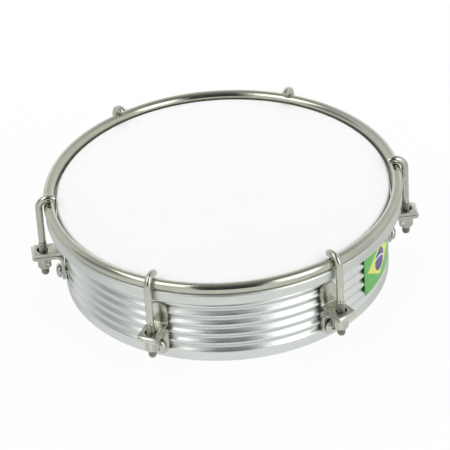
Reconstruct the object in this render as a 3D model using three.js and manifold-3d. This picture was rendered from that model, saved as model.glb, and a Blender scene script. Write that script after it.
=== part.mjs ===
// A six-inch tamborim: a small frame drum with one head, standing on its open rim.
// Millimetres, +Z up. The origin is the centre of the circle that the open rim stands on.
// The ribbed shell carries six folded brackets. A round counter hoop lies on the head's flesh hoop,
// and six hooks pull it down: each hook's threaded end runs through a bracket's shelf to a tuning nut.
import * as THREE from 'three';
import { mergeVertices } from 'three/addons/utils/BufferGeometryUtils.js';
import Module from 'manifold-3d';

// Shell: spun aluminium, with ribs pressed round it.
const SHELL_RADIUS = 76.2;
const SHELL_WALL = 1.15;
const SHELL_HEIGHT = 43.1;
const RIB_COUNT = 5;
const RIB_PITCH = 5.05;
const RIB_DEPTH = 1.35;
const LOWEST_GROOVE_Z = 7.1;
const SHELL_EDGE_CHAMFER = 0.25;

// Head: a thin film drawn over the shell's edge, with its skirt down inside the flesh hoop.
const FILM_THICKNESS = 0.35;
const FILM_BEND = 0.9;
const FILM_SKIRT_DEPTH = 5.4;
const FILM_CLEARANCE = 0.3;

// Flesh hoop: the flat aluminium band that holds the film's edge.
const FLESH_HOOP_WIDTH = 5.7;
const FLESH_HOOP_HEIGHT = 4.7;
const FLESH_HOOP_DROP = 3;
const FLESH_HOOP_CLEARANCE = 0.35;
const FLESH_HOOP_CHAMFER = 0.5;

// Counter hoop: round rod, over the middle of the flesh hoop's outer half.
const HOOP_ROD_DIAMETER = 5.1;
const HOOP_OVERHANG = 0.6;

// Stations: the places round the shell that have a bracket and a hook.
const STATION_COUNT = 6;
const FIRST_STATION_TURN = THREE.MathUtils.degToRad(5.2);

// Hooks: plain wire over the hoop, rolled thread below.
const WIRE_DIAMETER = 3.4;
const HOOK_ARCH_PLAY = 0.5;
const HOOK_TIP_TURN = THREE.MathUtils.degToRad(125);
const THREAD_DIAMETER = 3.8;
const THREAD_LENGTH = 18.3;
const THREAD_CHAMFER = 0.5;
const THREAD_OVERLAP = 1;

// Brackets: one strip each, folded back on itself to make a shelf of two layers.
const BRACKET_WIDTH = 9;
const BRACKET_SHEET = 1.5;
const BRACKET_FOLD_GAP = 0.3;
const SHELF_TOP_Z = 20;
const SHELF_LIP = 5.5;
const UPPER_LEG_RISE = 10.5;
const UPPER_BEND_RADIUS = 1;
const LOWER_BEND_RADIUS = 2.5;
const SHELF_HOLE_CLEARANCE = 0.8;
const SHELF_HOLE_OFFSET = 0.35;

// Bracket bolts, with a washer and a nut inside the shell.
const BOLT_Z = 7.3;
const BOLT_DIAMETER = 4;
const BOLT_HEAD_DIAMETER = 6.9;
const BOLT_HEAD_EDGE = 0.8;
const BOLT_HEAD_DOME = 1.6;
const BOLT_END_BEYOND_NUT = 1.1;
const BOLT_CHAMFER = 0.4;
const WASHER_DIAMETER = 9;
const WASHER_THICKNESS = 0.8;
const BOLT_NUT_ACROSS_FLATS = 7;
const BOLT_NUT_HEIGHT = 3.2;

// Tuning nuts: hexagonal, with a cone below.
const TUNING_NUT_ACROSS_FLATS = 6.3;
const TUNING_NUT_HEIGHT = 6;
const TUNING_NUT_CONE_HEIGHT = 1.4;
const TUNING_NUT_CONE_END_DIAMETER = 5.3;
const TUNING_NUT_CHAMFER = 0.4;
const HOOK_END_BELOW_NUT = 3.7;

// Flag sticker: a thin sheet that bridges the grooves.
const STICKER_Z = 19.1;
const STICKER_HEIGHT = 22.5;
const STICKER_PROPORTION_SHARE = 10 / 7;
const STICKER_THICKNESS = 0.3;
const STICKER_TURN = THREE.MathUtils.degToRad(-23.5);

// Clearances shared by all pieces.
const SEAT_GAP = 0.3;
const HOLE_CLEARANCE = 0.3;
const CUT_OVERRUN = 2;

// Facets of the round pieces.
const RING_SIDES = 48;
const HOOP_SECTION_SIDES = 10;
const WIRE_SIDES = 8;
const WIRE_STEPS = 18;
const SMALL_SIDES = 12;
const NUT_CONE_SIDES = 18;
const ARC_STEPS = 3;
const RIB_OUTER_STEPS = 4;
const RIB_INNER_STEPS = 2;
const LEG_END_STEPS = 4;
const STICKER_STEPS = 12;

// Radii and heights that follow from the sizes above.
const GROOVE_RADIUS = SHELL_RADIUS - RIB_DEPTH;
const SHELL_INSIDE = GROOVE_RADIUS - SHELL_WALL;
const FILM_SKIRT_RADIUS = SHELL_RADIUS + FILM_CLEARANCE;
const FILM_OUTER_RADIUS = FILM_SKIRT_RADIUS + FILM_THICKNESS;
const FILM_UNDERSIDE_Z = SHELL_HEIGHT + SEAT_GAP;
const FILM_TOP_Z = FILM_UNDERSIDE_Z + FILM_THICKNESS;
const FLESH_HOOP_INSIDE = FILM_OUTER_RADIUS + FLESH_HOOP_CLEARANCE;
const FLESH_HOOP_OUTSIDE = FLESH_HOOP_INSIDE + FLESH_HOOP_WIDTH;
const FLESH_HOOP_TOP_Z = FILM_TOP_Z - FLESH_HOOP_DROP;
const HOOP_ROD_RADIUS = HOOP_ROD_DIAMETER / 2;
const HOOP_RADIUS = FLESH_HOOP_OUTSIDE + HOOP_OVERHANG - HOOP_ROD_RADIUS;
const HOOP_Z = FLESH_HOOP_TOP_Z + SEAT_GAP + HOOP_ROD_RADIUS;
const WIRE_RADIUS = WIRE_DIAMETER / 2;
const ARCH_RADIUS = HOOP_ROD_RADIUS + HOOK_ARCH_PLAY + WIRE_RADIUS;
const ARCH_Z = HOOP_Z + HOOP_ROD_RADIUS + SEAT_GAP + WIRE_RADIUS - ARCH_RADIUS;
const HOOK_AXIS_RADIUS = HOOP_RADIUS + ARCH_RADIUS;
const LEG_FACE_RADIUS = SHELL_RADIUS + SEAT_GAP;
const LEG_OUTER_RADIUS = LEG_FACE_RADIUS + BRACKET_SHEET;
const SHELF_THICKNESS = 2 * BRACKET_SHEET + BRACKET_FOLD_GAP;
const SHELF_UNDERSIDE_Z = SHELF_TOP_Z - SHELF_THICKNESS;
const SHELF_END_RADIUS = HOOK_AXIS_RADIUS + SHELF_LIP;
const UPPER_LEG_TOP_Z = SHELF_TOP_Z + UPPER_LEG_RISE;
const LOWER_LEG_END_Z = BOLT_Z - BRACKET_WIDTH / 2;
const TUNING_NUT_TOP_Z = SHELF_UNDERSIDE_Z - SEAT_GAP;
const TUNING_NUT_LOW_Z = TUNING_NUT_TOP_Z - TUNING_NUT_HEIGHT;
const HOOK_END_Z = TUNING_NUT_LOW_Z - HOOK_END_BELOW_NUT;
const THREAD_TOP_Z = HOOK_END_Z + THREAD_LENGTH;
const WASHER_HALF = WASHER_DIAMETER / 2;
const WASHER_FACE_RADIUS = Math.sqrt(SHELL_INSIDE ** 2 - WASHER_HALF ** 2) - SEAT_GAP;
const BOLT_NUT_FACE_RADIUS = WASHER_FACE_RADIUS - WASHER_THICKNESS - SEAT_GAP;
const BOLT_HEAD_FACE_RADIUS = LEG_OUTER_RADIUS + SEAT_GAP;
const BOLT_END_RADIUS = BOLT_NUT_FACE_RADIUS - BOLT_NUT_HEIGHT - BOLT_END_BEYOND_NUT;
const BOLT_HOLE_DIAMETER = BOLT_DIAMETER + 2 * HOLE_CLEARANCE;
const SHELF_HOLE_DIAMETER = THREAD_DIAMETER + 2 * SHELF_HOLE_CLEARANCE;
const TUNING_NUT_BORE = THREAD_DIAMETER + 2 * HOLE_CLEARANCE;
const STICKER_RADIUS = SHELL_RADIUS + SEAT_GAP;
const STICKER_WIDTH = STICKER_HEIGHT * STICKER_PROPORTION_SHARE;

const wasm = await Module();
wasm.setup();

// Joining and cutting.

function toSolid(geometry) {
  const bare = geometry.clone();
  bare.deleteAttribute('normal');
  bare.deleteAttribute('uv');
  const merged = mergeVertices(bare);
  return new wasm.Manifold(new wasm.Mesh({
    numProp: 3,
    vertProperties: new Float32Array(merged.attributes.position.array),
    triVerts: new Uint32Array(merged.index.array),
  }));
}

function toGeometry(solid) {
  const mesh = solid.getMesh();
  const geometry = new THREE.BufferGeometry();
  geometry.setAttribute('position', new THREE.BufferAttribute(mesh.vertProperties, mesh.numProp));
  geometry.setIndex(new THREE.BufferAttribute(mesh.triVerts, 1));
  geometry.computeVertexNormals();
  return geometry;
}

// Basic forms. A turned profile is given as [radius, z] points, anticlockwise.

function turned(profile, sides) {
  const points = profile.map(([radius, z]) => new THREE.Vector2(radius, z));
  return new THREE.LatheGeometry(points, sides).rotateX(Math.PI / 2);
}

function turnedRing(profile, sides) {
  return turned([...profile, profile[0]], sides);
}

function uprightCylinder(diameter, lowZ, highZ, sides) {
  const cylinder = new THREE.CylinderGeometry(diameter / 2, diameter / 2, highZ - lowZ, sides);
  return cylinder.rotateX(Math.PI / 2).translate(0, 0, (lowZ + highZ) / 2);
}

function radialCylinder(diameter, innerRadius, outerRadius, sides) {
  const cylinder = uprightCylinder(diameter, innerRadius, outerRadius, sides);
  return cylinder.rotateY(Math.PI / 2).translate(0, 0, BOLT_Z);
}

function hexPrism(acrossFlats, lowZ, highZ) {
  const acrossCorners = acrossFlats / Math.cos(Math.PI / 6);
  return uprightCylinder(acrossCorners, lowZ, highZ, 6);
}

// Turns a piece made about the Z axis, with its outer end up, to point outwards at a bolt.
function layRadially(geometry) {
  return geometry.rotateY(Math.PI / 2).translate(0, 0, BOLT_Z);
}

// Shell.

// Radius and height of points up one wall: each rib is an arc that bulges out between two grooves.
function ribbedWall(grooveRadius, steps) {
  const halfChord = RIB_PITCH / 2;
  const arcRadius = (halfChord ** 2 + RIB_DEPTH ** 2) / (2 * RIB_DEPTH);
  const halfTurn = Math.asin(halfChord / arcRadius);
  const centreRadius = grooveRadius + RIB_DEPTH - arcRadius;
  const wall = [];
  for (let rib = 0; rib < RIB_COUNT; rib += 1) {
    const middleZ = LOWEST_GROOVE_Z + (rib + 0.5) * RIB_PITCH;
    for (let step = 0; step < steps; step += 1) {
      const turn = halfTurn * (2 * step / steps - 1);
      wall.push([centreRadius + arcRadius * Math.cos(turn), middleZ + arcRadius * Math.sin(turn)]);
    }
  }
  wall.push([grooveRadius, LOWEST_GROOVE_Z + RIB_COUNT * RIB_PITCH]);
  return wall;
}

function makeShell() {
  const insideBand = SHELL_RADIUS - SHELL_WALL;
  const topGrooveZ = LOWEST_GROOVE_Z + RIB_COUNT * RIB_PITCH;
  const profile = [
    [insideBand + SHELL_EDGE_CHAMFER, 0],
    [SHELL_RADIUS - SHELL_EDGE_CHAMFER, 0],
    [SHELL_RADIUS, SHELL_EDGE_CHAMFER],
    [SHELL_RADIUS, LOWEST_GROOVE_Z - RIB_DEPTH],
    ...ribbedWall(GROOVE_RADIUS, RIB_OUTER_STEPS),
    [SHELL_RADIUS, topGrooveZ + RIB_DEPTH],
    [SHELL_RADIUS, SHELL_HEIGHT - SHELL_EDGE_CHAMFER],
    [SHELL_RADIUS - SHELL_EDGE_CHAMFER, SHELL_HEIGHT],
    [insideBand + SHELL_EDGE_CHAMFER, SHELL_HEIGHT],
    [insideBand, SHELL_HEIGHT - SHELL_EDGE_CHAMFER],
    [insideBand, topGrooveZ + RIB_DEPTH],
    ...ribbedWall(SHELL_INSIDE, RIB_INNER_STEPS).reverse(),
    [insideBand, LOWEST_GROOVE_Z - RIB_DEPTH],
    [insideBand, SHELL_EDGE_CHAMFER],
  ];
  // Half a facet of turn puts a flat side of the shell behind each bracket.
  let shell = toSolid(turnedRing(profile, RING_SIDES).rotateZ(Math.PI / RING_SIDES));
  for (let station = 0; station < STATION_COUNT; station += 1) {
    const hole = radialCylinder(
      BOLT_HOLE_DIAMETER, SHELL_INSIDE - CUT_OVERRUN, SHELL_RADIUS + CUT_OVERRUN, SMALL_SIDES);
    shell = shell.subtract(toSolid(hole.rotateZ(station * 2 * Math.PI / STATION_COUNT)));
  }
  return toGeometry(shell);
}

// Head and hoops.

function makeFilm() {
  const skirtLowZ = FILM_UNDERSIDE_Z - FILM_SKIRT_DEPTH;
  const innerBendStart = FILM_SKIRT_RADIUS - FILM_BEND / 2;
  const outerBendStart = FILM_OUTER_RADIUS - FILM_BEND;
  return turned([
    [0, FILM_UNDERSIDE_Z],
    [innerBendStart, FILM_UNDERSIDE_Z],
    [FILM_SKIRT_RADIUS, FILM_UNDERSIDE_Z - FILM_BEND / 2],
    [FILM_SKIRT_RADIUS, skirtLowZ],
    [FILM_OUTER_RADIUS, skirtLowZ],
    [FILM_OUTER_RADIUS, FILM_TOP_Z - FILM_BEND],
    [FILM_OUTER_RADIUS - FILM_BEND / 4, FILM_TOP_Z - FILM_BEND / 4],
    [outerBendStart, FILM_TOP_Z],
    [0, FILM_TOP_Z],
  ], RING_SIDES);
}

function makeFleshHoop() {
  const lowZ = FLESH_HOOP_TOP_Z - FLESH_HOOP_HEIGHT;
  return turnedRing([
    [FLESH_HOOP_INSIDE + FLESH_HOOP_CHAMFER, lowZ],
    [FLESH_HOOP_OUTSIDE - FLESH_HOOP_CHAMFER, lowZ],
    [FLESH_HOOP_OUTSIDE, lowZ + FLESH_HOOP_CHAMFER],
    [FLESH_HOOP_OUTSIDE, FLESH_HOOP_TOP_Z - FLESH_HOOP_CHAMFER],
    [FLESH_HOOP_OUTSIDE - FLESH_HOOP_CHAMFER, FLESH_HOOP_TOP_Z],
    [FLESH_HOOP_INSIDE + FLESH_HOOP_CHAMFER, FLESH_HOOP_TOP_Z],
    [FLESH_HOOP_INSIDE, FLESH_HOOP_TOP_Z - FLESH_HOOP_CHAMFER],
    [FLESH_HOOP_INSIDE, lowZ + FLESH_HOOP_CHAMFER],
  ], RING_SIDES);
}

function makeCounterHoop() {
  const hoop = new THREE.TorusGeometry(HOOP_RADIUS, HOOP_ROD_RADIUS, HOOP_SECTION_SIDES, RING_SIDES);
  return hoop.translate(0, 0, HOOP_Z);
}

// Pieces of one station, made where the station faces +X.

// Point on the hook's wire, by the turn of its arch from the outer, upright leg.
function archPoint(turn) {
  const radius = HOOP_RADIUS + ARCH_RADIUS * Math.cos(turn);
  return new THREE.Vector3(radius, 0, ARCH_Z + ARCH_RADIUS * Math.sin(turn));
}

class HookLine extends THREE.Curve {
  getPoint(share) {
    const legLength = ARCH_Z - THREAD_TOP_Z + THREAD_OVERLAP;
    const archLength = ARCH_RADIUS * HOOK_TIP_TURN;
    const along = share * (legLength + archLength);
    if (along > legLength) {
      return archPoint((along - legLength) / ARCH_RADIUS);
    }
    return new THREE.Vector3(HOOK_AXIS_RADIUS, 0, ARCH_Z - legLength + along);
  }
}

function makeHook() {
  const section = new THREE.Shape().absarc(0, 0, WIRE_RADIUS, 0, 2 * Math.PI);
  const wire = new THREE.ExtrudeGeometry(section, {
    steps: WIRE_STEPS,
    curveSegments: WIRE_SIDES / 2,
    extrudePath: new HookLine(),
  });
  const threadRadius = THREAD_DIAMETER / 2;
  const thread = turned([
    [0, HOOK_END_Z],
    [threadRadius - THREAD_CHAMFER, HOOK_END_Z],
    [threadRadius, HOOK_END_Z + THREAD_CHAMFER],
    [threadRadius, THREAD_TOP_Z - THREAD_CHAMFER],
    [threadRadius - THREAD_CHAMFER, THREAD_TOP_Z],
    [0, THREAD_TOP_Z],
  ], SMALL_SIDES).translate(HOOK_AXIS_RADIUS, 0, 0);
  return toGeometry(toSolid(wire).add(toSolid(thread)));
}

// The strip's outline seen from the side: down the upper leg, out along the shelf,
// round the fold, back in, and down the lower leg.
function bracketSideOutline() {
  const upperOuter = UPPER_BEND_RADIUS + BRACKET_SHEET;
  const lowerOuter = LOWER_BEND_RADIUS + BRACKET_SHEET;
  const upperBendX = LEG_FACE_RADIUS + upperOuter;
  const upperBendZ = SHELF_TOP_Z + UPPER_BEND_RADIUS;
  const lowerBendX = LEG_FACE_RADIUS + lowerOuter;
  const lowerBendZ = SHELF_UNDERSIDE_Z - LOWER_BEND_RADIUS;
  const foldRadius = SHELF_THICKNESS / 2;
  const foldX = SHELF_END_RADIUS - foldRadius;
  const foldZ = SHELF_TOP_Z - foldRadius;
  const quarter = Math.PI / 2;
  const outline = new THREE.Shape();
  outline.moveTo(LEG_FACE_RADIUS, UPPER_LEG_TOP_Z);
  outline.absarc(upperBendX, upperBendZ, upperOuter, 2 * quarter, 3 * quarter, false);
  outline.absarc(foldX, foldZ, BRACKET_FOLD_GAP / 2, quarter, -quarter, true);
  outline.absarc(lowerBendX, lowerBendZ, lowerOuter, quarter, 2 * quarter, false);
  outline.lineTo(LEG_FACE_RADIUS, LOWER_LEG_END_Z);
  outline.lineTo(LEG_OUTER_RADIUS, LOWER_LEG_END_Z);
  outline.absarc(lowerBendX, lowerBendZ, LOWER_BEND_RADIUS, 2 * quarter, quarter, true);
  outline.absarc(foldX, foldZ, foldRadius, -quarter, quarter, false);
  outline.absarc(upperBendX, upperBendZ, UPPER_BEND_RADIUS, 3 * quarter, 2 * quarter, true);
  outline.lineTo(LEG_OUTER_RADIUS, UPPER_LEG_TOP_Z);
  return outline;
}

// The strip's outline seen from outside: straight sides and round ends.
function bracketFrontOutline() {
  const half = BRACKET_WIDTH / 2;
  const outline = new THREE.Shape();
  outline.absarc(0, UPPER_LEG_TOP_Z - half, half, 0, Math.PI, false);
  outline.absarc(0, LOWER_LEG_END_Z + half, half, Math.PI, 2 * Math.PI, false);
  return outline;
}

function makeBracket() {
  const strip = new THREE.ExtrudeGeometry(bracketSideOutline(), {
    depth: BRACKET_WIDTH, curveSegments: ARC_STEPS, bevelEnabled: false,
  });
  strip.rotateX(Math.PI / 2).translate(0, BRACKET_WIDTH / 2, 0);
  const front = new THREE.ExtrudeGeometry(bracketFrontOutline(), {
    depth: SHELF_END_RADIUS, curveSegments: LEG_END_STEPS, bevelEnabled: false,
  });
  front.rotateX(Math.PI / 2).rotateZ(Math.PI / 2).translate(CUT_OVERRUN, 0, 0);
  const shelfHole = uprightCylinder(
    SHELF_HOLE_DIAMETER, SHELF_UNDERSIDE_Z - CUT_OVERRUN, SHELF_TOP_Z + CUT_OVERRUN, SMALL_SIDES);
  const boltHole = radialCylinder(
    BOLT_HOLE_DIAMETER, LEG_FACE_RADIUS - CUT_OVERRUN, LEG_OUTER_RADIUS + CUT_OVERRUN, SMALL_SIDES);
  const bracket = toSolid(strip)
    .intersect(toSolid(front))
    .subtract(toSolid(shelfHole.translate(HOOK_AXIS_RADIUS + SHELF_HOLE_OFFSET, 0, 0)))
    .subtract(toSolid(boltHole));
  return toGeometry(bracket);
}

function makeTuningNut() {
  const cornerRadius = TUNING_NUT_ACROSS_FLATS / 2 / Math.cos(Math.PI / 6);
  const blank = turned([
    [0, TUNING_NUT_LOW_Z],
    [TUNING_NUT_CONE_END_DIAMETER / 2, TUNING_NUT_LOW_Z],
    [cornerRadius, TUNING_NUT_LOW_Z + TUNING_NUT_CONE_HEIGHT],
    [cornerRadius, TUNING_NUT_TOP_Z - TUNING_NUT_CHAMFER],
    [cornerRadius - TUNING_NUT_CHAMFER, TUNING_NUT_TOP_Z],
    [0, TUNING_NUT_TOP_Z],
  ], NUT_CONE_SIDES);
  const lowCutZ = TUNING_NUT_LOW_Z - CUT_OVERRUN;
  const highCutZ = TUNING_NUT_TOP_Z + CUT_OVERRUN;
  const nut = toSolid(blank)
    .intersect(toSolid(hexPrism(TUNING_NUT_ACROSS_FLATS, lowCutZ, highCutZ)))
    .subtract(toSolid(uprightCylinder(TUNING_NUT_BORE, lowCutZ, highCutZ, SMALL_SIDES)));
  return toGeometry(nut).translate(HOOK_AXIS_RADIUS, 0, 0);
}

function makeBracketBolt() {
  const shankRadius = BOLT_DIAMETER / 2;
  const headRadius = BOLT_HEAD_DIAMETER / 2;
  const headTop = BOLT_HEAD_FACE_RADIUS + BOLT_HEAD_EDGE + BOLT_HEAD_DOME;
  const profile = [
    [0, BOLT_END_RADIUS],
    [shankRadius - BOLT_CHAMFER, BOLT_END_RADIUS],
    [shankRadius, BOLT_END_RADIUS + BOLT_CHAMFER],
    [shankRadius, BOLT_HEAD_FACE_RADIUS],
    [headRadius, BOLT_HEAD_FACE_RADIUS],
  ];
  for (let step = 0; step < ARC_STEPS; step += 1) {
    const turn = Math.PI / 2 * step / ARC_STEPS;
    const radius = headRadius * Math.cos(turn);
    profile.push([radius, headTop - BOLT_HEAD_DOME * (1 - Math.sin(turn))]);
  }
  profile.push([0, headTop]);
  return layRadially(turned(profile, SMALL_SIDES));
}

function makeWasher() {
  const lowZ = WASHER_FACE_RADIUS - WASHER_THICKNESS;
  return layRadially(turnedRing([
    [BOLT_HOLE_DIAMETER / 2, lowZ],
    [WASHER_HALF, lowZ],
    [WASHER_HALF, WASHER_FACE_RADIUS],
    [BOLT_HOLE_DIAMETER / 2, WASHER_FACE_RADIUS],
  ], SMALL_SIDES));
}

function makeBoltNut() {
  const lowZ = BOLT_NUT_FACE_RADIUS - BOLT_NUT_HEIGHT;
  const bore = uprightCylinder(
    BOLT_HOLE_DIAMETER, lowZ - CUT_OVERRUN, BOLT_NUT_FACE_RADIUS + CUT_OVERRUN, SMALL_SIDES);
  const nut = toSolid(hexPrism(BOLT_NUT_ACROSS_FLATS, lowZ, BOLT_NUT_FACE_RADIUS));
  return layRadially(toGeometry(nut.subtract(toSolid(bore))));
}

// Sticker: a sheet bent round the shell's axis, made where its middle faces +X.
function makeSticker() {
  const halfTurn = STICKER_WIDTH / STICKER_RADIUS / 2;
  const outline = new THREE.Shape();
  outline.absarc(0, 0, STICKER_RADIUS + STICKER_THICKNESS, -halfTurn, halfTurn, false);
  outline.absarc(0, 0, STICKER_RADIUS, halfTurn, -halfTurn, true);
  const sheet = new THREE.ExtrudeGeometry(outline, {
    depth: STICKER_HEIGHT, curveSegments: STICKER_STEPS, bevelEnabled: false,
  });
  return sheet.translate(0, 0, STICKER_Z - STICKER_HEIGHT / 2);
}

// Finishes.
const FINISHES = {
  aluminium: { color: 0xc8cccd, roughness: 0.34, metalness: 1 },
  nickel: { color: 0xb6b2a4, roughness: 0.2, metalness: 1 },
  zinc: { color: 0xc9c8c2, roughness: 0.3, metalness: 1 },
  film: { color: 0xf7f8f8, roughness: 0.35, metalness: 0 },
  print: { color: 0x1f7a32, roughness: 0.3, metalness: 0 },
};

function makeMesh(name, geometry, finish) {
  const mesh = new THREE.Mesh(geometry, new THREE.MeshStandardMaterial(FINISHES[finish]));
  mesh.name = name;
  return mesh;
}

// Assembly.
const tamborim = new THREE.Group();
const drum = new THREE.Group();
drum.rotation.z = FIRST_STATION_TURN;
drum.add(makeMesh('shell', makeShell(), 'aluminium'));
drum.add(makeMesh('head_film', makeFilm(), 'film'));
drum.add(makeMesh('flesh_hoop', makeFleshHoop(), 'aluminium'));
drum.add(makeMesh('counter_hoop', makeCounterHoop(), 'nickel'));

const stationPieces = [
  ['hook', makeHook(), 'nickel'],
  ['tuning_nut', makeTuningNut(), 'nickel'],
  ['bracket', makeBracket(), 'nickel'],
  ['bracket_bolt', makeBracketBolt(), 'zinc'],
  ['bolt_washer', makeWasher(), 'zinc'],
  ['bolt_nut', makeBoltNut(), 'zinc'],
];
for (let station = 0; station < STATION_COUNT; station += 1) {
  const place = new THREE.Group();
  place.rotation.z = station * 2 * Math.PI / STATION_COUNT;
  for (const [name, geometry, finish] of stationPieces) {
    place.add(makeMesh(`${name}_${station + 1}`, geometry, finish));
  }
  drum.add(place);
}
tamborim.add(drum);

const sticker = makeMesh('flag_sticker', makeSticker(), 'print');
sticker.rotation.z = STICKER_TURN;
tamborim.add(sticker);

export default tamborim;
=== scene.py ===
# %% [markdown]
# This lesson dresses a six-inch tamborim: a small frame drum with a ribbed aluminium shell, a white
# film head, a round nickel-plated hoop and six tuning hooks. The construction comes in first as a
# fixed frame of plain solids, and each piece below is modelled again with its real surface and stands
# for one of those solids. Everything is in metres, in the same frame as the solids: +Z is up, and the
# origin is the middle of the circle that the drum stands on.

# %% Load the frame
import math

import bmesh
import bpy
from mathutils import Matrix, Vector


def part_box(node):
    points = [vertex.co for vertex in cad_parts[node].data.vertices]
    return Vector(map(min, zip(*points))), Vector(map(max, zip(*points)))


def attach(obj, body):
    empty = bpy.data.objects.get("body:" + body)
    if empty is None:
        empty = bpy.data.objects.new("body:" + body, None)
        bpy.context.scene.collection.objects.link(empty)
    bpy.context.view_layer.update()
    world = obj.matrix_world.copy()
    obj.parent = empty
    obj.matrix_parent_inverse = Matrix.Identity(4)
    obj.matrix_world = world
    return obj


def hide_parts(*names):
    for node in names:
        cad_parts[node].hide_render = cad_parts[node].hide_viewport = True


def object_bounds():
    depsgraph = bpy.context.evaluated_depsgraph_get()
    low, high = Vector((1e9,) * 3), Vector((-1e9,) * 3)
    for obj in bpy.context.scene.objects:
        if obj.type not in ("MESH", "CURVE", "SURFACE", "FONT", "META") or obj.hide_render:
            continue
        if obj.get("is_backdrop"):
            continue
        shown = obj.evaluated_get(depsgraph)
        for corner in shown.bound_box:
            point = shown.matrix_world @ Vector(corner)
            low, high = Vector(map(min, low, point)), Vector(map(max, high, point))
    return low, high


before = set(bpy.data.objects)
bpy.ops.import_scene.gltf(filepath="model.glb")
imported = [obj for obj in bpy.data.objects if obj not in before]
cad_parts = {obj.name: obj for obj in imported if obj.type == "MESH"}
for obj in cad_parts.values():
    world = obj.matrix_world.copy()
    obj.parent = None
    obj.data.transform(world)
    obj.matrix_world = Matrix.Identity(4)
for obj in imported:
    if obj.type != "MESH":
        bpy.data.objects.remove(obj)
cad_box = [list(corner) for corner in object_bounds()]

MM = 0.001
FULL_TURN = 2 * math.pi

# %% [markdown]
# The camera comes first, because it decides how the rest is judged. A drum like this is photographed
# with a long lens from a little over a metre away, looking down at about 35 degrees, so that the round
# head becomes a calm ellipse. The camera could be aimed with a constraint, but here its distance,
# its height and its small tilts are plain numbers, so the same picture comes back each time.

# %% Camera
PICTURE_PIXELS = 450
SENSOR_WIDTH = 36.0
FOCAL_PIXELS = 2830.4
CAMERA_DISTANCE = 1337.95 * MM
CAMERA_ELEVATION = math.radians(35.004)
CAMERA_PITCH = math.radians(0.785)
CAMERA_ROLL = math.radians(-3.556)


def rotation(angle, axis="Z"):
    return Matrix.Rotation(angle, 4, axis)


def make_camera():
    data = bpy.data.cameras.new("studio_camera")
    data.sensor_width = SENSOR_WIDTH
    data.lens = FOCAL_PIXELS * SENSOR_WIDTH / PICTURE_PIXELS
    camera = bpy.data.objects.new("studio_camera", data)
    place = Vector((0, -math.cos(CAMERA_ELEVATION), math.sin(CAMERA_ELEVATION))) * CAMERA_DISTANCE
    tilt = rotation(math.pi / 2 - CAMERA_ELEVATION + CAMERA_PITCH, "X")
    camera.matrix_world = Matrix.Translation(place) @ tilt @ rotation(CAMERA_ROLL)
    bpy.context.scene.collection.objects.link(camera)
    bpy.context.scene.camera = camera
    return camera


camera = make_camera()
print("lens", round(camera.data.lens, 1), "mm")

# %% [markdown]
# The sizes that several pieces share are named once here, as a maker would write them on the drawing.
# The frame already holds them as solids, and the size of its shell is printed.

# %% Shared sizes
SHELL_RADIUS = 76.2 * MM
SHELL_WALL = 0.9 * MM
SHELL_HEIGHT = 43.1 * MM
RIB_COUNT = 5
RIB_PITCH = 5.05 * MM
RIB_DEPTH = 1.6 * MM
LOWEST_GROOVE_Z = 7.1 * MM
GROOVE_RADIUS = SHELL_RADIUS - RIB_DEPTH
SHELL_INSIDE = GROOVE_RADIUS - SHELL_WALL

STATION_COUNT = 6
FIRST_STATION_TURN = math.radians(5.2)

HOOP_RADIUS = 80.95 * MM
HOOP_Z = 43.6 * MM
HOOP_ROD_RADIUS = 2.55 * MM
ARCH_RADIUS = 4.75 * MM
ARCH_Z = 43.4 * MM
HOOK_AXIS_RADIUS = HOOP_RADIUS + ARCH_RADIUS
WIRE_RADIUS = 1.7 * MM
THREAD_RADIUS = 1.9 * MM
THREAD_PITCH = 0.7 * MM

SHELF_TOP_Z = 20.0 * MM
SHELF_UNDERSIDE_Z = 16.7 * MM
BOLT_Z = 7.3 * MM
BOLT_RADIUS = 2.0 * MM

shell_low, shell_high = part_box("shell")
print("shell in the frame, mm:", [round(c / MM, 2) for c in shell_high - shell_low])

# %% [markdown]
# Turned pieces all start the same way: an outline is drawn in the XZ plane as a wire of points, its
# corners are rounded with a vertex bevel, and a spin carries it round the Z axis. Drawing the corners
# sharp and rounding them afterwards keeps each outline short enough to read.

# %% Helpers for outlines and spins
CORNER_SEGMENTS = 4
RING_STEPS = 192
MERGE_DISTANCE = 0.002 * MM


def wire(points, closed):
    """A bmesh with one wire through points given as (radius, z)."""
    bm = bmesh.new()
    verts = [bm.verts.new((radius, 0, z)) for radius, z in points]
    pairs = list(zip(verts, verts[1:]))
    if closed:
        pairs.append((verts[-1], verts[0]))
    for start, end in pairs:
        bm.edges.new((start, end))
    return bm, verts


def round_corners(bm, corners, radius, segments=CORNER_SEGMENTS, affect="VERTICES"):
    bmesh.ops.bevel(bm, geom=list(corners), offset=radius, segments=segments, profile=0.5,
                    affect=affect, material=-1)


def spin_round(bm, steps=RING_STEPS):
    """Carries a wire right round the Z axis, then closes its seam and its poles."""
    bmesh.ops.spin(bm, geom=bm.verts[:] + bm.edges[:], cent=(0, 0, 0), axis=(0, 0, 1), dvec=(0, 0, 0),
                   angle=FULL_TURN, steps=steps, use_merge=True)
    bmesh.ops.remove_doubles(bm, verts=bm.verts[:], dist=MERGE_DISTANCE)
    bmesh.ops.recalc_face_normals(bm, faces=bm.faces[:])
    return bm


def moved(bm, matrix):
    bmesh.ops.transform(bm, verts=bm.verts[:], matrix=matrix)
    return bm


# %% [markdown]
# Folded sheet and hexagons need cuts, which bmesh has no operator for. Boolean, Solidify and Bevel
# modifiers do that work on a blank, and the result is read back as a bmesh, so that a finished piece
# carries no live modifiers and its place stays in its mesh.

# %% Helpers for modifiers
SMOOTH_ANGLE = math.radians(32)
EASED_SEGMENTS = 2


def as_object(name, bm):
    mesh = bpy.data.meshes.new(name)
    bm.to_mesh(mesh)
    bm.free()
    made = bpy.data.objects.new(name, mesh)
    bpy.context.scene.collection.objects.link(made)
    return made


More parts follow.
